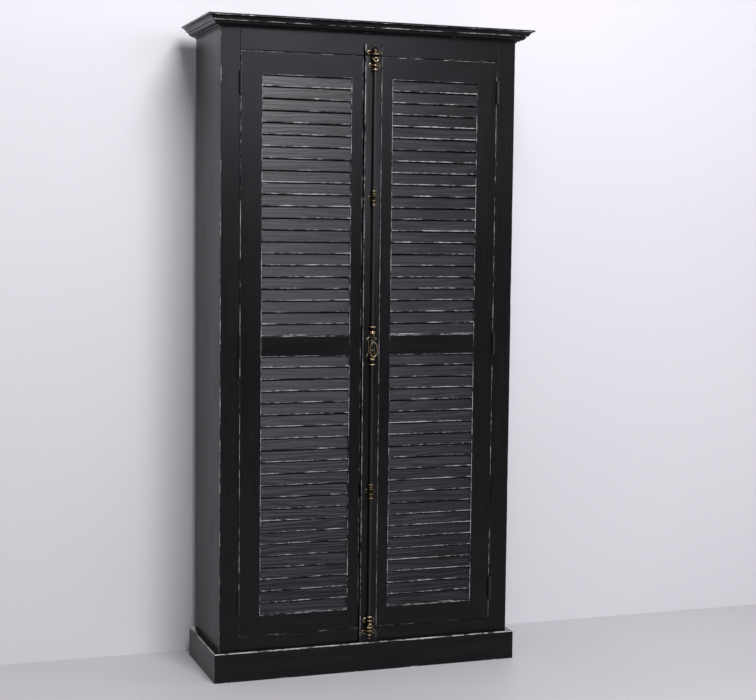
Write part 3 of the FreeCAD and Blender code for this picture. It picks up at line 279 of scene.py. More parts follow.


def paint(name, dark, light, grain_depth, rub, gloss, roughness):
    """Thin black paint over wood whose edges are rubbed down to pale primer and wood, with a grey
    band beside the rubbing that is thinned paint and a painted highlight.
    """
    material, tree, shader = start_material(name, Specular_IOR_Level=gloss)
    wood = add(tree, "Attribute", attribute_name="grain").outputs["Vector"]
    edge = add(tree, "Attribute", attribute_name="wear_and_highlight").outputs["Fac"]
    warp = noise(tree, stretch(tree, wood, (2.2, 9.0, 9.0)), 1.0, 2.0)
    rings = add(tree, "TexWave", {"Vector": stretch(tree, wood, (0.10, 1.0, 1.0)), "Scale": 22.0,
                                  "Distortion": calc(tree, "MULTIPLY", warp, 26.0), "Detail": 2.0,
                                  "Detail Scale": 1.4}, bands_direction="Y").outputs["Fac"]
    fibre = noise(tree, stretch(tree, wood, (16.0, 620.0, 620.0)), 1.0, 4.0, 0.65)
    cloud = noise(tree, stretch(tree, wood, (3.0, 14.0, 14.0)), 1.0, 3.0)
    figure = calc(tree, "ADD", calc(tree, "MULTIPLY", rings, 0.5),
                  calc(tree, "MULTIPLY", fibre, 0.5))
    tone = calc(tree, "MULTIPLY", band(tree, figure, 0.22, 0.72), band(tree, cloud, 0.20, 0.62))
    coat = mix(tree, tone, dark, light)
    patches = noise(tree, stretch(tree, wood, (60.0, 260.0, 260.0)), 1.0, 4.0, 0.6)
    runs = noise(tree, stretch(tree, wood, (13.0, 40.0, 40.0)), 1.0, 2.0)
    unevenness = calc(tree, "ADD", calc(tree, "MULTIPLY", patches, 1.1),
                      calc(tree, "MULTIPLY", runs, 0.9))
    exposed = calc(tree, "ADD", calc(tree, "MULTIPLY", edge, rub), unevenness)
    bare = band(tree, exposed, *BARE)
    grey_wear_and_highlight = band(tree, exposed, *GREY_WEAR_AND_HIGHLIGHT)
    touched = band(tree, edge, *TOUCHED)
    bare = calc(tree, "MULTIPLY", bare, touched)
    grey_wear_and_highlight = calc(tree, "MULTIPLY", grey_wear_and_highlight, touched)
    rubbed = mix(tree, fibre, (0.13, 0.127, 0.127, 1), (0.56, 0.545, 0.54, 1))
    # Grey along the rubbed arrises: thinned paint and a painted highlight.
    colour = mix(tree, grey_wear_and_highlight, coat, (0.060, 0.058, 0.061, 1))
    colour = mix(tree, bare, colour, rubbed)
    tree.links.new(colour, shader.inputs["Base Color"])
    sheen = calc(tree, "ADD", roughness, calc(tree, "MULTIPLY", cloud, 0.14))
    tree.links.new(calc(tree, "ADD", sheen, calc(tree, "MULTIPLY", bare, 0.3), clamp=True),
                   shader.inputs["Roughness"])
    height = calc(tree, "SUBTRACT", calc(tree, "MULTIPLY", figure, grain_depth), bare)
    bump = add(tree, "Bump", {"Strength": 0.35, "Distance": 0.0004, "Height": height})
    tree.links.new(bump.outputs[0], shader.inputs["Normal"])
    return material


def brass():
    """Old brass: nearly black where it is not touched; its arrises are polished and painted bright
    as highlights.
    """
    material, tree, shader = start_material("antique_brass", Metallic=1.0)
    spot = add(tree, "TexCoord").outputs["Object"]
    polish_and_highlight = add(tree, "Attribute", attribute_name="wear_and_highlight").outputs["Fac"]
    cloud = noise(tree, spot, 420.0, 5.0, 0.65)
    sheen_and_polish = calc(tree, "ADD", polish_and_highlight, calc(tree, "MULTIPLY", cloud, 0.7))
    # Bright colour on the convex arrises: polish by use and a painted highlight.
    bright = band(tree, sheen_and_polish, 0.56, 1.16)
    colour = mix(tree, bright, (0.030, 0.022, 0.014, 1), (0.66, 0.52, 0.31, 1))
    tree.links.new(colour, shader.inputs["Base Color"])
    tree.links.new(calc(tree, "SUBTRACT", 0.36, calc(tree, "MULTIPLY", bright, 0.12)),
                   shader.inputs["Roughness"])
    bump = add(tree, "Bump", {"Strength": 0.4, "Distance": 0.0003,
                              "Height": noise(tree, spot, 900.0, 3.0)})
    tree.links.new(bump.outputs[0], shader.inputs["Normal"])
    return material


def iron():
    """Blackened iron, for the rods."""
    material, tree, shader = start_material("black_iron", Specular_IOR_Level=0.40)
    spot = add(tree, "TexCoord").outputs["Object"]
    cloud = noise(tree, spot, 180.0, 4.0)
    tree.links.new(mix(tree, cloud, (0.003, 0.003, 0.0032, 1), (0.010, 0.010, 0.0105, 1)),
                   shader.inputs["Base Color"])
    tree.links.new(calc(tree, "ADD", 0.24, calc(tree, "MULTIPLY", cloud, 0.25)),
                   shader.inputs["Roughness"])
    bump = add(tree, "Bump", {"Strength": 0.25, "Distance": 0.0003,
                              "Height": noise(tree, spot, 700.0, 3.0)})
    tree.links.new(bump.outputs[0], shader.inputs["Normal"])
    return material


def steel():
    """Plain steel, brushed along its length."""
    material, tree, shader = start_material("steel", Metallic=1.0)
    spot = add(tree, "TexCoord").outputs["Object"]
    brushed = noise(tree, stretch(tree, spot, (300.0, 300.0, 30.0)), 1.0, 4.0)
    tree.links.new(mix(tree, brushed, (0.38, 0.38, 0.39, 1), (0.62, 0.62, 0.62, 1)),
                   shader.inputs["Base Color"])
    tree.links.new(calc(tree, "ADD", 0.25, calc(tree, "MULTIPLY", brushed, 0.2)),
                   shader.inputs["Roughness"])
    return material


def stage_material(name, colour, other, roughness, one_sided=False):
    """Plain pale paint; a one-sided sheet isn't seen from behind, so the back can be looked at."""
    material, tree, shader = start_material(name, Roughness=roughness)
    spot = add(tree, "TexCoord").outputs["Object"]
    cloud = noise(tree, spot, 1.3, 4.0)
    tree.links.new(mix(tree, cloud, colour, other), shader.inputs["Base Color"])
    if one_sided:
        behind = add(tree, "NewGeometry").outputs["Backfacing"]
        clear = add(tree, "BsdfTransparent").outputs[0]
        seen = add(tree, "MixShader", {0: behind, 1: shader.outputs[0], 2: clear}).outputs[0]
        tree.links.new(seen, tree.nodes["Material Output"].inputs["Surface"])
    return material


PAINT = paint("black_paint", dark=(0.0014, 0.0014, 0.0017, 1),
              light=(0.0042, 0.0041, 0.0050, 1), grain_depth=0.5, rub=0.80, gloss=0.19,
              roughness=0.25)
# The slats' black paint is painted lighter than the frame's, standing in for the light their upward
# tilt reflects; its stronger grain is the wood's.
SLAT_PAINT_WITH_PAINTED_SHEEN = paint("slat_paint_with_painted_sheen", dark=(0.0030, 0.0030, 0.0036, 1),
                   light=(0.018, 0.0178, 0.0215, 1), grain_depth=3.0, rub=0.72, gloss=0.28,
                   roughness=0.24)
# The inside's black paint is painted lighter than the outside's, standing in for light in the
# shaded inside.
INNER_PAINT_PAINTED_LIGHTER = paint("inner_paint_painted_lighter", dark=(0.0090, 0.0087, 0.0093, 1),
                    light=(0.030, 0.029, 0.031, 1), grain_depth=1.2, rub=0.7, gloss=0.30,
                    roughness=0.34)
BRASS = brass()
IRON = iron()
STEEL = steel()
SLOT_MATERIALS = {"painted_wood": PAINT, "painted_slats": SLAT_PAINT_WITH_PAINTED_SHEEN,
                  "antique_brass": BRASS, "black_iron": IRON, "steel": STEEL}
for subpart in frame["record"]["subparts"]:
    node = frame["nodes"][subpart["node"]]
    node.data.materials.clear()
    node.data.materials.append(SLOT_MATERIALS[subpart["material_slot"]])

# ---- carcass and face frame ---------------------------------------------------------

EASED = 1.0 * MM           # radius of a board's arrises


def cad_board(node, axis, worn, radius=EASED, body="root", coat=None):
    """A board where the CAD has one, with its grain along the axis."""
    low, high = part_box(node)
    board(node + "_board", low, high, axis, worn, body, (node,), radius, coat)


def between(node, first, second, axis, worn, body, lap=0):
    """A rail's visible part, between its two stiles; a lap fills the eased joint with paint."""
    low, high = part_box(node)
    low.x, high.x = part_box(first)[1].x - lap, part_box(second)[0].x + lap
    board(node + "_board", low, high, axis, worn, body, (node,), EASED)


cad_board("left_side_panel", 2, {"front left": 0.35, "back left": 0.5})
cad_board("right_side_panel", 2, {"front right": 0.35, "back right": 0.5})
cad_board("left_front_stile", 2, {"front left": 0.72, "front right": 0.5})
cad_board("right_front_stile", 2, {"front right": 0.72, "front left": 0.5})
for rail, worn in (("top_front_rail", {"front bottom": 0.55}),
                   ("bottom_front_rail", {"front top": 0.5})):
    between(rail, "left_front_stile", "right_front_stile", 0, worn, "root")
for node in ("floor_board", "ceiling_board", "shelf_1", "shelf_2", "shelf_3", "shelf_4"):
    cad_board(node, 0, {"front top": 0.5, "front bottom": 0.4}, coat=INNER_PAINT_PAINTED_LIGHTER)
cad_board("back_panel", 2, {}, 0.5 * MM, coat=INNER_PAINT_PAINTED_LIGHTER)
cad_board("cornice_top_board", 0, {})

# ---- cornice and plinth -------------------------------------------------------------

CORNICE = [(0, 0), (3, 0), (3, 1.5, -3), (7, 5), (12, 5.6), (12.6, 8, 14), (27, 17), (28, 20),
           (34, 20.6), (35, 23, -20), (46.5, 34), (50, 34.6), (50, 40), (0, 40)]
# Rubbed arrises of the mouldings, (across, up, amount): the cornice's step and top edges and the
# plinth's top edge are rubbed and painted with a highlight.
CORNICE_RUB_AND_HIGHLIGHT = [(12, 5.6, 0.55), (34, 20.6, 0.9), (50, 34.6, 0.75), (50, 40, 0.25)]
PLINTH = [(0, 0), (20, 0), (20, 91, 6), (14, 97), (0, 97)]
PLINTH_RUB_AND_HIGHLIGHT = [(18.2, 95.2, 0.95), (20, 1, 0.6)]
RUB_CORE, RUB_FADE = 1.4 * MM, 3.5 * MM    # fully rubbed, and how far the rubbing fades
OUTLINE_STEP = 3 * MM                      # longest step along a moulding's outline
MITRE_GAP = 0.1 * MM                       # keeps the two halves of a mitre apart


def moulding(name, node, outline, foot, rubs, side):
    """One mitred length of moulding: side -1 and 1 are the returns, 0 is the front."""
    low_x, high_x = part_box("left_side_panel")[0].x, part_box("right_side_panel")[1].x
    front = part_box("left_front_stile")[0].y
    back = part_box(node)[1].y
    section = [point * MM for point in outline_points(outline)]
    fine = []
    for index, point in enumerate(section):
        after = section[(index + 1) % len(section)]
        parts = max(1, int((after - point).length / OUTLINE_STEP))
        fine += [point.lerp(after, k / parts) for k in range(parts)]
    section = fine
    rings = []
    if side == 0:
        for end, edge in ((-1, low_x), (1, high_x)):
            rings.append([Vector((edge + end * (d - MITRE_GAP), front - d, foot + z))
                          for d, z in section])
        axis = 0
    else:
        edge = low_x if side < 0 else high_x
        for place in ("front", "back"):
            rings.append([Vector((edge + side * d,
                                  front - d + MITRE_GAP if place == "front" else back,
                                  foot + z)) for d, z in section])
        axis = 1
    verts, faces = loft(rings)
    wear_and_highlight = []
    for point in section:
        rub = 0.0
        for d, z, amount in rubs:
            gap = (point - Vector((d, z)) * MM).length
            rub = max(rub, amount * max(0.0, 1 - max(0.0, gap - RUB_CORE) / RUB_FADE))
        wear_and_highlight.append(rub)
    shift = grain_shift(name)
    grain = [grain_at(spot, axis, shift) for spot in verts]
    finish_piece(name, verts, faces, wear_and_highlight * len(rings), grain, PAINT, "root", (node,),
                 "painted_wood", smooth=False)


for side, end in ((-1, "left"), (0, "front"), (1, "right")):
    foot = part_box("cornice_" + end)[0].z
    moulding(f"cornice_{end}_moulding", "cornice_" + end, CORNICE, foot, CORNICE_RUB_AND_HIGHLIGHT, side)
    moulding(f"plinth_{end}_moulding", "plinth_" + end, PLINTH, 0.0, PLINTH_RUB_AND_HIGHLIGHT, side)

# ---- doors ---------------------------------------------------------------------------

SLATS = 22
SLAT_WIDTH, SLAT_THICKNESS, SLAT_ROUNDING = 36 * MM, 6 * MM, 1.8 * MM
SLAT_TILT = math.radians(12)
SLAT_HIDDEN = 3 * MM       # of each slat's end, inside its stile
RAIL_LAP = 2 * MM          # of a rail over its stiles' eased arrises


def slat_section():
    """A slat's section, thickness then width, and how much each point is rubbed."""
    half_t, half_w, r = SLAT_THICKNESS / 2, SLAT_WIDTH / 2, SLAT_ROUNDING
    points, rubs = [], []
    corners = (((-1, -1), 180, 1.0), ((1, -1), 270, 0.3), ((1, 1), 0, 0.2), ((-1, 1), 90, 0.62))
    for (side, end), start, rub in corners:
        centre = Vector((side * (half_t - r), end * (half_w - r)))
        for k in range(5):
            angle = math.radians(start + 90 * k / 4)
            points.append(centre + r * Vector((math.cos(angle), math.sin(angle))))
            rubs.append(rub)
        if (side, end) == (-1, 1):
            for along in (half_w - r - 1.5 * MM, half_w - r - 4 * MM, half_w / 2, 0,
                          -half_w / 2, -half_w + r + 5 * MM, -half_w + r + 2 * MM):
                points.append(Vector((-half_t - 0.12 * MM * math.cos(along / half_w * 1.5), along)))
                rubs.append({half_w - r - 1.5 * MM: 0.35, -half_w + r + 2 * MM: 0.55}.get(along, 0))
    return points, rubs


def louvre(name, node, body):
    """A bank of fixed slats, each a little bowed and twisted."""
    low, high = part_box(node)
    section, rubs = slat_section()
    cosine, sine = math.cos(SLAT_TILT), math.sin(SLAT_TILT)
    half_high = ((SLAT_WIDTH / 2 - SLAT_ROUNDING) * cosine
                 + (SLAT_THICKNESS / 2 - SLAT_ROUNDING) * sine + SLAT_ROUNDING)
    pitch = (high.z - low.z - 2 * half_high) / (SLATS - 1)
    centre_y = (low.y + high.y) / 2
    draw = random.Random(name)
    # Close together at the ends, so that the shading doesn't bend towards the end faces.
    stations = [0, 0.004] + [k / 10 for k in range(1, 10)] + [0.996, 1]
    verts, faces, wear_and_highlight, grain = [], [], [], []
    for number in range(SLATS):
        centre_z = low.z + half_high + number * pitch
        shift = [draw.uniform(0, 5) for _ in range(3)]
        twist, bow = draw.uniform(-0.35, 0.35) * MM, draw.uniform(-0.3, 0.3) * MM
        strength = draw.uniform(0.78, 1.0)
        rings = []
        for along in stations:
            x = low.x + SLAT_HIDDEN + along * (high.x - low.x - 2 * SLAT_HIDDEN)
            sway = bow * math.sin(math.pi * along) + twist * (along - 0.5)
            rings.append([Vector((x, centre_y + t * cosine + w * sine + 0.1 * MM,
                                  centre_z - t * sine + w * cosine + sway * 0.5))
                          for t, w in section])
        ring_verts, ring_faces = loft(rings)
        faces += [[index + len(verts) for index in face] for face in ring_faces]
        verts += ring_verts
        wear_and_highlight += [rub * strength for rub in rubs] * len(rings)
        grain += [(ring[i].x + shift[0], section[i].y + shift[1], section[i].x + shift[2])
                  for ring in rings for i in range(len(section))]
    finish_piece(name, verts, faces, wear_and_highlight, grain, SLAT_PAINT_WITH_PAINTED_SHEEN, body, (node,), "painted_slats")


def door(name, side):
    """A door's stiles, rails and slats: side -1 is the left door, 1 the right."""
    body = name + "_door"
    hinge, meeting = body + "_hinge_stile", body + "_meeting_stile"
    outer, inner = ("left", "right") if side < 0 else ("right", "left")
    openings = []
    for level in ("lower", "upper"):
        rail_below = body + ("_bottom_rail" if level == "lower" else "_mid_rail")
        rail_above = body + ("_mid_rail" if level == "lower" else "_top_rail")
        openings.append((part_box(rail_below)[1].z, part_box(rail_above)[0].z))
    foot, top = openings[0][0], openings[1][1]
    arris = (0.85, foot, top)
    cad_board(hinge, 2, {f"front {outer}": 0.8, f"front {inner}": arris,
                         "front top": 0.75, "front bottom": 0.7}, body=body)
    cad_board(meeting, 2, {f"front {inner}": 0.75, f"front {outer}": arris,
                           "front top": 0.75, "front bottom": 0.7}, body=body)
    stiles = (hinge, meeting) if side < 0 else (meeting, hinge)
    for rail, worn in (("_top_rail", {"front top": 0.75, "front bottom": 0.85}),
                       ("_mid_rail", {"front top": 0.8, "front bottom": 0.85}),
                       ("_bottom_rail", {"front top": 0.8, "front bottom": 0.7})):
        between(body + rail, *stiles, 0, worn, body, lap=RAIL_LAP)
    for level in ("lower", "upper"):
        louvre(f"{name}_{level}_louvre", f"{name}_{level}_slats", body)


door("left", -1)
door("right", 1)


STRIP_EASE = 5 * MM        # radius of the strip's two front arrises
STRIP_RUB = 4 * MM         # how far the rubbing reaches from an arris
STRIP_CORE = 1.5 * MM      # depth of the rubbing's middle under both faces
END_EASE, END_CUT = 0.8 * MM, 0.2 * MM     # of the strip's two ends


def strip(node, body):
    """Astragal moulding: two rounded front arrises that are well rubbed."""
    low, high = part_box(node)
    depth = high.y - low.y
    half, ease = high.x, STRIP_EASE
    section, rubs = [], []
    outline = [(-half, 0), (-half, -(depth - ease), ease), (-(half - ease), -depth),
               (half - ease, -depth, ease), (half, -(depth - ease)), (half, 0)]
    for point in outline_points(outline, 6):
        edge = min((point - Vector((sign * (half - STRIP_CORE), -(depth - STRIP_CORE)))).length
                   for sign in (-1, 1))
        section.append(point)
        rubs.append(max(0.0, 1 - edge / STRIP_RUB))
        if (point - Vector((-(half - ease), -depth))).length < 1e-6:
            section += [point + Vector((STRIP_RUB, 0)), Vector((half - ease - STRIP_RUB, -depth))]
            rubs += [0.0, 0.0]
    rings = []
    for inset, z in ((END_EASE, low.z), (END_CUT, low.z + END_CUT), (0, low.z + END_EASE),
                     (0, high.z - END_EASE), (END_CUT, high.z - END_CUT), (END_EASE, high.z)):
        scale = 1 - inset / half
        rings.append([Vector((x * scale, high.y + y * (1 - inset / depth), z)) for x, y in section])
    verts, faces = loft(rings)
    shift = grain_shift(node)
    finish_piece(node + "_strip", verts, faces, rubs * len(rings),
                 [grain_at(spot, 2, shift) for spot in verts], PAINT, body, (node,),
                 "painted_wood")


strip("astragal", "right_door")
strip("top_keeper_block", "root")
strip("bottom_keeper_block", "root")

# ---- cremone bolt: cast and turned brass ----------------------------------------------

ASTRAGAL_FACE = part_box("astragal")[0].y
PLATE_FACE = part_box("lock_backplate")[0].y
PLATE_BACK = ASTRAGAL_FACE + 1 * MM        # every plate is let into the wood
# The rear end of the knob's spindle, inside the lock. The case's front, its leaf and the knob's
# foot are placed from it, which sets them about 19 mm behind where the CAD has them.
SPINDLE_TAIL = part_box("turn_knob")[1].y
ROD_Y = (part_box("upper_rod")[0].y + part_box("upper_rod")[1].y) / 2
LOCK_Z = (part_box("turn_knob")[0].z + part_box("turn_knob")[1].z) / 2
BRIGHT_REACH = 1.2 * MM    # an arris this sharp or sharper is polished by use and painted bright as a highlight

# Turned outlines, (radius, height) from the foot, with an arc's radius third.
MIDDLE_GUIDE = [
    (4.6, 0), (8.6, 0, 1.6), (8.6, 3), (6.0, 11), (7.8, 12.5, 2.4), (7.8, 16.5), (6.1, 18),
    (6.1, 24), (8.6, 30, 2.6), (8.6, 33.5), (6.2, 36), (7.2, 37.5, 1.8), (7.2, 40.5),
    (5.8, 42), (5.8, 44), (8.9, 45, 1.9), (8.9, 48.5), (4.6, 48.5)]
END_GUIDE = [
    (4.6, 0), (9.3, 0, 1.9), (9.3, 3.4), (6.4, 5.4), (6.4, 11), (8.4, 13, 2.6), (8.4, 17),
    (6.8, 18.5), (7.6, 24, -40), (12.2, 36), (13.2, 37), (13.2, 40), (4.6, 40)]
UPPER_KEEPER = [
    (0, 16), (5.3, 16), (5.3, 0), (15, 0), (15, 4), (13.4, 5.2), (13.2, 9, 17), (3.6, 25),
    (2.2, 26.5), (2.0, 30, 2), (0, 32)]
LOWER_KEEPER = [
    (0, 16), (5.3, 16), (5.3, 0), (13.6, 0), (13.6, 3), (12, 4.2, -30), (6.4, 13.5),
    (7, 15, 1.6), (7, 18), (3, 20.5), (2.6, 24), (4.2, 27.8, 4.2), (0, 32)]
NECK = [
    (4.6, 0), (10.2, 0), (10.2, 3), (8.9, 4.6, 1.9), (8.9, 8), (6.1, 9.6), (6.1, 19.5),
    (10.4, 21, 2), (10.4, 24.6), (4.6, 24.6)]
THROAT = [(4.6, 0), (7.2, 0), (7.2, 30), (4.6, 30)]
BOSS = [
    (0, 0), (6.4, 0), (6.4, 1.6), (5.2, 2.4), (6.3, 4.6, 7.2), (4.6, 11.6, 7.4125), (0, 13.2)]

# Half outline of the lock's backplate, (across, above the spindle).
SCROLLED_PLATE = [
    (0, 28), (4.6, 27.4), (8.2, 24.2), (9.4, 17.5), (11.6, 13.8), (15.8, 13.2), (18, 9.4),
    (16.6, 5.2), (12.8, 4.6), (11.0, 0), (10.7, -13), (11.2, -27), (12.0, -38), (13.6, -42.2),
    (16.4, -44.6), (16.6, -48.6), (13.4, -51.4), (9.2, -50.2), (5.4, -51.7), (0, -52)]


def smooth_loop(points, fine=6):
    """A closed Catmull-Rom curve through the points."""
    count, loop = len(points), []
    for i in range(count):
        a, b, c, d = (Vector(points[(i + k) % count]) for k in (-1, 0, 1, 2))
        for k in range(fine):
            t = k / fine
            loop.append(0.5 * ((2 * b) + (c - a) * t + (2 * a - 5 * b + 4 * c - d) * t * t
                               + (3 * b - a - 3 * c + d) * t ** 3))
    return loop


def refine(points, step, closed=False):
    """The same line with extra points, so that none is further than step from the next."""
    fine = []
    for here, there in zip(points, points[1:] + points[:1]):
        parts = max(1, math.ceil((there - here).length / step))
        fine += [here.lerp(there, k / parts) for k in range(parts)]
    return fine if closed else fine[:fine.index(points[-1]) + 1]


def arris_polish_and_highlight(points, closed=False):
    """How far each point of a line stands out from its neighbours, from 0 to 1; it sets the brass's
    polish and painted highlight.
    """
    sheen_and_polish, count = [], len(points)
    for i, point in enumerate(points):
        ends = []
        for turn in (-1, 1):
            j, left = i, BRIGHT_REACH
            while left > 0 and (closed or 0 <= j + turn < count):
                here, there = points[j % count], points[(j + turn) % count]
                length = (there - here).length
                if length >= left:
                    break
                left -= length
                j += turn
            inside = closed or 0 <= j + turn < count
            here = points[j % count]
            there = points[(j + turn) % count] if inside else here
            length = (there - here).length
            ends.append(here.lerp(there, min(1, left / length)) if length else here)
        along = ends[1] - ends[0]
        outward = Vector((along.y, -along.x)).normalized()
        stand = (point - (ends[0] + ends[1]) / 2).dot(outward)
        sheen_and_polish.append(max(0.0, min(1.0, stand / (0.38 * BRIGHT_REACH))))
    return sheen_and_polish


def lathe(outline, spot, up=(0, 0, 1), segments=36):
    """A turned piece standing on a spot, its axis along up."""
    points = refine([point * MM for point in outline_points(outline, 6)[:-1]]
                    + [Vector(outline[-1][:2]) * MM], 0.6 * MM)
    sheen_and_polish = arris_polish_and_highlight(points)
    up = Vector(up)
    side = up.orthogonal().normalized()
    other = up.cross(side)
    verts, wear_and_highlight, rings = [], [], []
    for point, bright in zip(points, sheen_and_polish):
        if point.x < 1e-7:
            rings.append([len(verts)])
            verts.append(Vector(spot) + up * point.y)
            wear_and_highlight.append(bright)
            continue
        rings.append(list(range(len(verts), len(verts) + segments)))
        for k in range(segments):
            angle = 2 * math.pi * k / segments
            verts.append(Vector(spot) + up * point.y
                         + (side * math.cos(angle) + other * math.sin(angle)) * point.x)
            wear_and_highlight.append(bright)
    faces = []
    for low, high in zip(rings, rings[1:]):
        for k in range(segments):
            a, b = low[k % len(low)], low[(k + 1) % len(low)]
            c, d = high[(k + 1) % len(high)], high[k % len(high)]
            faces.append(list(dict.fromkeys((a, b, c, d))))
    if len(rings[0]) > 1:
        faces += [[rings[0][k], rings[-1][k], rings[-1][(k + 1) % segments],
                   rings[0][(k + 1) % segments]] for k in range(segments)]
    return verts, faces, wear_and_highlight


def plate(loop, back, front, ease=0.7 * MM):
    """A flat plate with an eased front arris from its outline, (across, up)."""
    loop = refine([point * MM for point in loop], 1.2 * MM, closed=True)
    count = len(loop)
    area = sum(a.x * b.y - b.x * a.y for a, b in zip(loop, loop[1:] + loop[:1]))
    normals = []
    for i in range(count):
        along = loop[(i + 1) % count] - loop[i - 1]
        normals.append(Vector((-along.y, along.x)).normalized() * math.copysign(1, area))
    rings, wear_and_highlight = [], []
    # Bright sets the polish and painted highlight along the plate's eased front arris.
    for y, inset, bright in ((back, 0, 0), (front + ease, 0, 0.25), (front + 0.3 * ease, 0.3, 1.0),
                             (front, 1.0, 0.7), (front, 2.2, 0.0)):
        rings.append([Vector((p.x + n.x * inset * ease, y, p.y + n.y * inset * ease))
                      for p, n in zip(loop, normals)])
        wear_and_highlight += [bright] * count
    verts, faces = loft(rings)
    return verts, faces, wear_and_highlight


def ear_plate(half_length, half_height, z):
    """A plate with two round ends for its screws and a waist between them."""
    loop = []
    for side in (1, -1):
        for k in range(-6, 7):
            angle = math.pi / 2 * k / 6
            loop.append(Vector((side * (half_length - half_height + half_height * math.cos(angle)),
                                side * half_height * math.sin(angle))))
    return [point + Vector((0, z / MM)) for point in loop]


def tube(path, radii, closed=False, sides=12, bright=0.5):
    """A bent wire along a path, whose thickness may change; bright is its polish and painted
    highlight.
    """
    rings, count = [], len(path)
    for i, spot in enumerate(path):
        after = path[(i + 1) % count] if closed or i + 1 < count else spot
        before = path[i - 1] if closed or i else spot
        along = (after - before).normalized()
        side = along.cross(Vector((0, 1, 0))).normalized()
        other = along.cross(side)
        rings.append([spot + (side * math.cos(2 * math.pi * k / sides)
                              + other * math.sin(2 * math.pi * k / sides)) * radii[i]
                      for k in range(sides)])
    verts, faces = loft(rings, closed_ends=not closed)
    if closed:
        last = (count - 1) * sides
        faces += [[last + k, last + (k + 1) % sides, (k + 1) % sides, k] for k in range(sides)]
    return verts, faces, [bright] * len(verts)


def chevron(z, rise, reach, outline_radius):
    """Two ribs of a leaf that spread over the front of a turned guide."""
    parts = []
    for side in (-1, 1):
        path, radii = [], []
        for k in range(9):
            t = k / 8
            x = side * reach * t
            radius = outline_radius(t)
            path.append(Vector((x, ROD_Y - math.sqrt(max(radius ** 2 - x ** 2, 0)) - 0.2 * MM,
                                z + rise * t)))
            radii.append((1.3 - 0.55 * abs(t - 0.35)) * MM)
        parts.append(tube(path, radii, sides=8, bright=0.8))
    return parts


def cast(name, parts, body, nodes, sheen_and_polish=1.0):
    """Several solids as one brass piece; a duller piece takes less polish and painted highlight on
    its arrises.
    """
    verts, faces, wear_and_highlight = [], [], []
    for part_verts, part_faces, part_wear in parts:
        faces += [[index + len(verts) for index in face] for face in part_faces]
        verts += part_verts
        wear_and_highlight += [polish_and_highlight * sheen_and_polish for polish_and_highlight in part_wear]
    finish_piece(name, verts, faces, wear_and_highlight, [tuple(spot) for spot in verts], BRASS, body, nodes,
                 "antique_brass")


def on_rod(z):
    """The spot on the rods' axis at a height."""
    return (0, ROD_Y, z)


def guide_radius(t):
    """Radius of an end guide's bell, along the leaf's ribs."""
    return (7.6 + 4.4 * t) * MM


# Half length and half height of the ear plates, and how far they stand above a guide's foot.
END_EARS, END_EARS_RISE = (19.5, 8), 15 * MM
MIDDLE_EARS, MIDDLE_EARS_RISE = (18, 6.2), 24.5 * MM
KEEPER_EARS, KEEPER_EARS_RISE = (24, 6.5), 8 * MM
LEAF_FOOT, LEAF_RISE, LEAF_REACH = 24 * MM, 12.5 * MM, 10.5 * MM
MIDDLE_GUIDE_LENGTH = 48.5 * MM
GUIDE_LIFT = 0.2 * MM      # of the upper guide's foot above the end of its CAD box

# The lower guide and keeper stand upside down: way is -1 for them.
guide_feet = (("upper", 1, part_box("upper_end_guide")[0].z + GUIDE_LIFT),
              ("lower", -1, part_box("lower_end_guide")[1].z))
for end, way, foot in guide_feet:
    cast(f"{end}_guide_brass",
         [lathe(END_GUIDE, on_rod(foot), (0, 0, way)),
          plate(ear_plate(*END_EARS, foot + way * END_EARS_RISE), PLATE_BACK, PLATE_FACE)]
         + chevron(foot + way * LEAF_FOOT, way * LEAF_RISE, LEAF_REACH, guide_radius),
         "right_door", (f"{end}_end_guide",))
middle_low, middle_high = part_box("middle_rod_guides")
# The middle guides take half the polish and painted highlight.
cast("middle_guide_brass",
     [part for foot in (middle_low.z, middle_high.z - MIDDLE_GUIDE_LENGTH) for part in
      (lathe(MIDDLE_GUIDE, on_rod(foot)),
       plate(ear_plate(*MIDDLE_EARS, foot + MIDDLE_EARS_RISE), PLATE_BACK, PLATE_FACE))],
     "right_door", ("middle_rod_guides",), sheen_and_polish=0.5)
keeper_mouths = (("top", 1, UPPER_KEEPER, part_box("top_keeper")[0].z),
                 ("bottom", -1, LOWER_KEEPER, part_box("bottom_keeper")[1].z))
for end, way, outline, mouth in keeper_mouths:
    cast(f"{end}_keeper_brass",
         [lathe(outline, on_rod(mouth), (0, 0, way)),
          plate(ear_plate(*KEEPER_EARS, mouth + way * KEEPER_EARS_RISE), PLATE_BACK,
                PLATE_FACE)],
         "root", (f"{end}_keeper",))

half_plate = [Vector(point) for point in SCROLLED_PLATE]
mirrored = [Vector((-point.x, point.y)) for point in reversed(half_plate[1:-1])]
lift = Vector((0, LOCK_Z / MM))
scroll_loop = [point + lift for point in smooth_loop(half_plate + mirrored, 5)]
cast("lock_plate_brass", [plate(scroll_loop, PLATE_BACK, PLATE_FACE)],
     "right_door", ("lock_backplate",))

case_low, case_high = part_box("lock_case")
CASE_HALF, CASE_RISE = 10.4, 26.6
NECK_LENGTH = 24.6 * MM
THROAT_FOOT = 20 * MM      # of the sleeve between the two necks, above the case's lower end
LEAF_WIRE = 0.75 * MM
# One quarter of the lock case seen from the front: a straight side and a pointed shoulder.
quarter = [(CASE_HALF, CASE_RISE - 6), (CASE_HALF - 2.2, CASE_RISE - 2.4),
           (CASE_HALF - 5, CASE_RISE - 0.6)]
upper = quarter + [(0, CASE_RISE)] + [(-x, z) for x, z in reversed(quarter)]
lower = [(-x, -z) for x, z in upper]
case_loop = [Vector(point) + lift for point in lower[-1:] + upper + lower[:-1]]

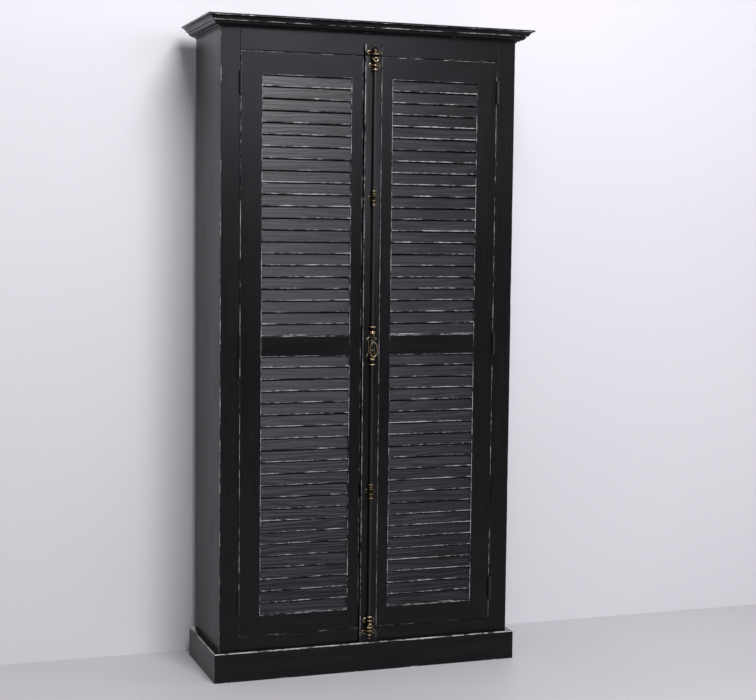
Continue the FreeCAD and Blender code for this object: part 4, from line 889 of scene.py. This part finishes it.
leaf = smooth_loop([(0, 23), (3.4, 17), (6.6, 9), (7.6, 0), (6.6, -9), (3.4, -17), (0, -23),
                    (-3.4, -17), (-6.6, -9), (-7.6, 0), (-6.6, 9), (-3.4, 17)], 4)
leaf_path = [Vector((p.x * MM, SPINDLE_TAIL - 0.1 * MM, p.y * MM + LOCK_Z)) for p in leaf]
cast("lock_case_brass",
     [plate(case_loop, PLATE_BACK, SPINDLE_TAIL, 2.6 * MM),
      tube(leaf_path, [LEAF_WIRE] * len(leaf_path), closed=True, sides=8, bright=0.75),
      lathe(NECK, on_rod(case_high.z - NECK_LENGTH)),
      lathe(NECK, on_rod(case_low.z + NECK_LENGTH), (0, 0, -1)),
      lathe(THROAT, on_rod(case_low.z + THROAT_FOOT))],
     "right_door", ("lock_case",))
cast("turn_knob_brass", [lathe(BOSS, (0, SPINDLE_TAIL - 0.15 * MM, LOCK_Z), (0, -1, 0))],
     "handle", ("turn_knob",))

bail_low, bail_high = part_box("bail_ring")
bail_y = (bail_low.y + bail_high.y) / 2
WIRE = 2 * MM              # radius of the CAD ring's wire
RING_POINTS = 56
half_width = bail_high.x - WIRE
middle, half_tall = (LOCK_Z + bail_low.z + WIRE) / 2, (LOCK_Z - bail_low.z - WIRE) / 2
oval, thickness = [], []
for k in range(RING_POINTS):
    turn = 2 * math.pi * k / RING_POINTS
    swell = 1 - 0.16 * math.cos(turn)      # wider at the bottom
    oval.append(Vector((half_width * math.sin(turn) * swell / 1.02, bail_y,
                        middle + half_tall * math.cos(turn))))
    thickness.append((1.55 + 0.42 * (1 - math.cos(turn)) / 2) * MM)
cast("drop_ring", [tube(oval, thickness, closed=True, sides=14, bright=0.45)], "bail",
     ("bail_ring",))

# ---- stage, light and camera ---------------------------------------------------------

WALL_BEHIND = 0.06         # metres, like everything on the stage
STAGE_REACH, WALL_HEIGHT = 12, 7


def sheet(name, corners, material):
    """A flat piece of the surroundings."""
    mesh = bpy.data.meshes.new(name)
    mesh.from_pydata(corners, [], [(0, 1, 2, 3)])
    mesh.materials.append(material)
    thing = bpy.data.objects.new(name, mesh)
    bpy.context.scene.collection.objects.link(thing)
    thing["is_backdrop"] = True


wall_y = cad_box[1][1] + WALL_BEHIND
sheet("floor", [(-STAGE_REACH, -STAGE_REACH, 0), (STAGE_REACH, -STAGE_REACH, 0),
                (STAGE_REACH, wall_y, 0), (-STAGE_REACH, wall_y, 0)],
      stage_material("pale_floor", (0.47, 0.455, 0.475, 1), (0.53, 0.515, 0.53, 1), 0.5))
sheet("wall", [(-STAGE_REACH, wall_y, 0), (STAGE_REACH, wall_y, 0),
               (STAGE_REACH, wall_y, WALL_HEIGHT), (-STAGE_REACH, wall_y, WALL_HEIGHT)],
      stage_material("pale_wall", (0.64, 0.625, 0.65, 1), (0.67, 0.655, 0.675, 1), 0.9, True))


def aimed(place, target):
    """A lamp's matrix at a place, turned to a target."""
    gaze = (Vector(target) - Vector(place)).normalized()
    return Matrix.Translation(place) @ gaze.to_track_quat("-Z", "Y").to_matrix().to_4x4()


def softbox(name, place, target, width, height, power, tint):
    """A rectangular lamp, in metres and watts."""
    light = bpy.data.lights.new(name, "AREA")
    light.shape = "RECTANGLE"
    light.size, light.size_y, light.energy = width, height, power
    light.color = tint
    lamp = bpy.data.objects.new(name, light)
    lamp.matrix_world = aimed(place, target)
    bpy.context.scene.collection.objects.link(lamp)
    return lamp


DAYLIGHT, COOL = (0.975, 0.965, 1.0), (0.86, 0.88, 1.0)
softbox("overhead", (-0.1, -3.3, 4.5), (0.0, 0.0, 1.1), 2.0, 2.0, 245, DAYLIGHT)
softbox("front", (1.15, -5.5, 2.82), (0.1, 0.0, 1.8), 1.6, 1.1, 48, COOL)
softbox("side", (4.8, -2.3, 2.6), (0.9, 0.1, 1.0), 2.0, 2.0, 48, DAYLIGHT)
softbox("fill", (-4.4, -2.4, 2.8), (-1.2, 0.1, 1.2), 2.2, 2.0, 8, DAYLIGHT)
rear = softbox("rear", (1.2, 4.6, 2.8), (0, 0.2, 1.1), 3.0, 2.4, 90, DAYLIGHT)
# The rear lamp stands behind the wall, so it lights the cabinet only and the wall doesn't stop it.
on_cabinet = bpy.data.collections.new("lit_from_behind")
for thing in bpy.context.scene.objects:
    if thing.type == "MESH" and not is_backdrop(thing):
        on_cabinet.objects.link(thing)
rear.light_linking.receiver_collection = on_cabinet
rear.light_linking.blocker_collection = on_cabinet

world = bpy.data.worlds.new("studio")
world.use_nodes = True
sky = world.node_tree
soft = sky.nodes["Background"]
soft.inputs[0].default_value, soft.inputs[1].default_value = (0.93, 0.93, 0.96, 1), 0.26
backdrop = sky.nodes.new("ShaderNodeBackground")
backdrop.inputs[0].default_value = (0.72, 0.71, 0.74, 1)
seen = add(sky, "MixShader", {0: add(sky, "LightPath").outputs["Is Camera Ray"],
                              1: soft.outputs[0], 2: backdrop.outputs[0]})
sky.links.new(seen.outputs[0], sky.nodes["World Output"].inputs["Surface"])
bpy.context.scene.world = world
bpy.context.scene.view_settings.view_transform = "Standard"

CAMERA_PLACE = Vector((-1.697, -5.031, 1.477))
CAMERA_GAZE = Vector((0.33246, 0.93999, -0.07673))
CAMERA_RIGHT = Vector((0.94299, -0.33263, 0.01096))

lens = bpy.data.cameras.new("camera")
lens.lens, lens.sensor_width = 74.33, 36
camera = bpy.data.objects.new("camera", lens)
up = CAMERA_RIGHT.cross(CAMERA_GAZE)
turn = Matrix((CAMERA_RIGHT, up, -CAMERA_GAZE)).transposed().to_4x4()
camera.matrix_world = Matrix.Translation(CAMERA_PLACE) @ turn
bpy.context.scene.collection.objects.link(camera)
bpy.context.scene.camera = camera
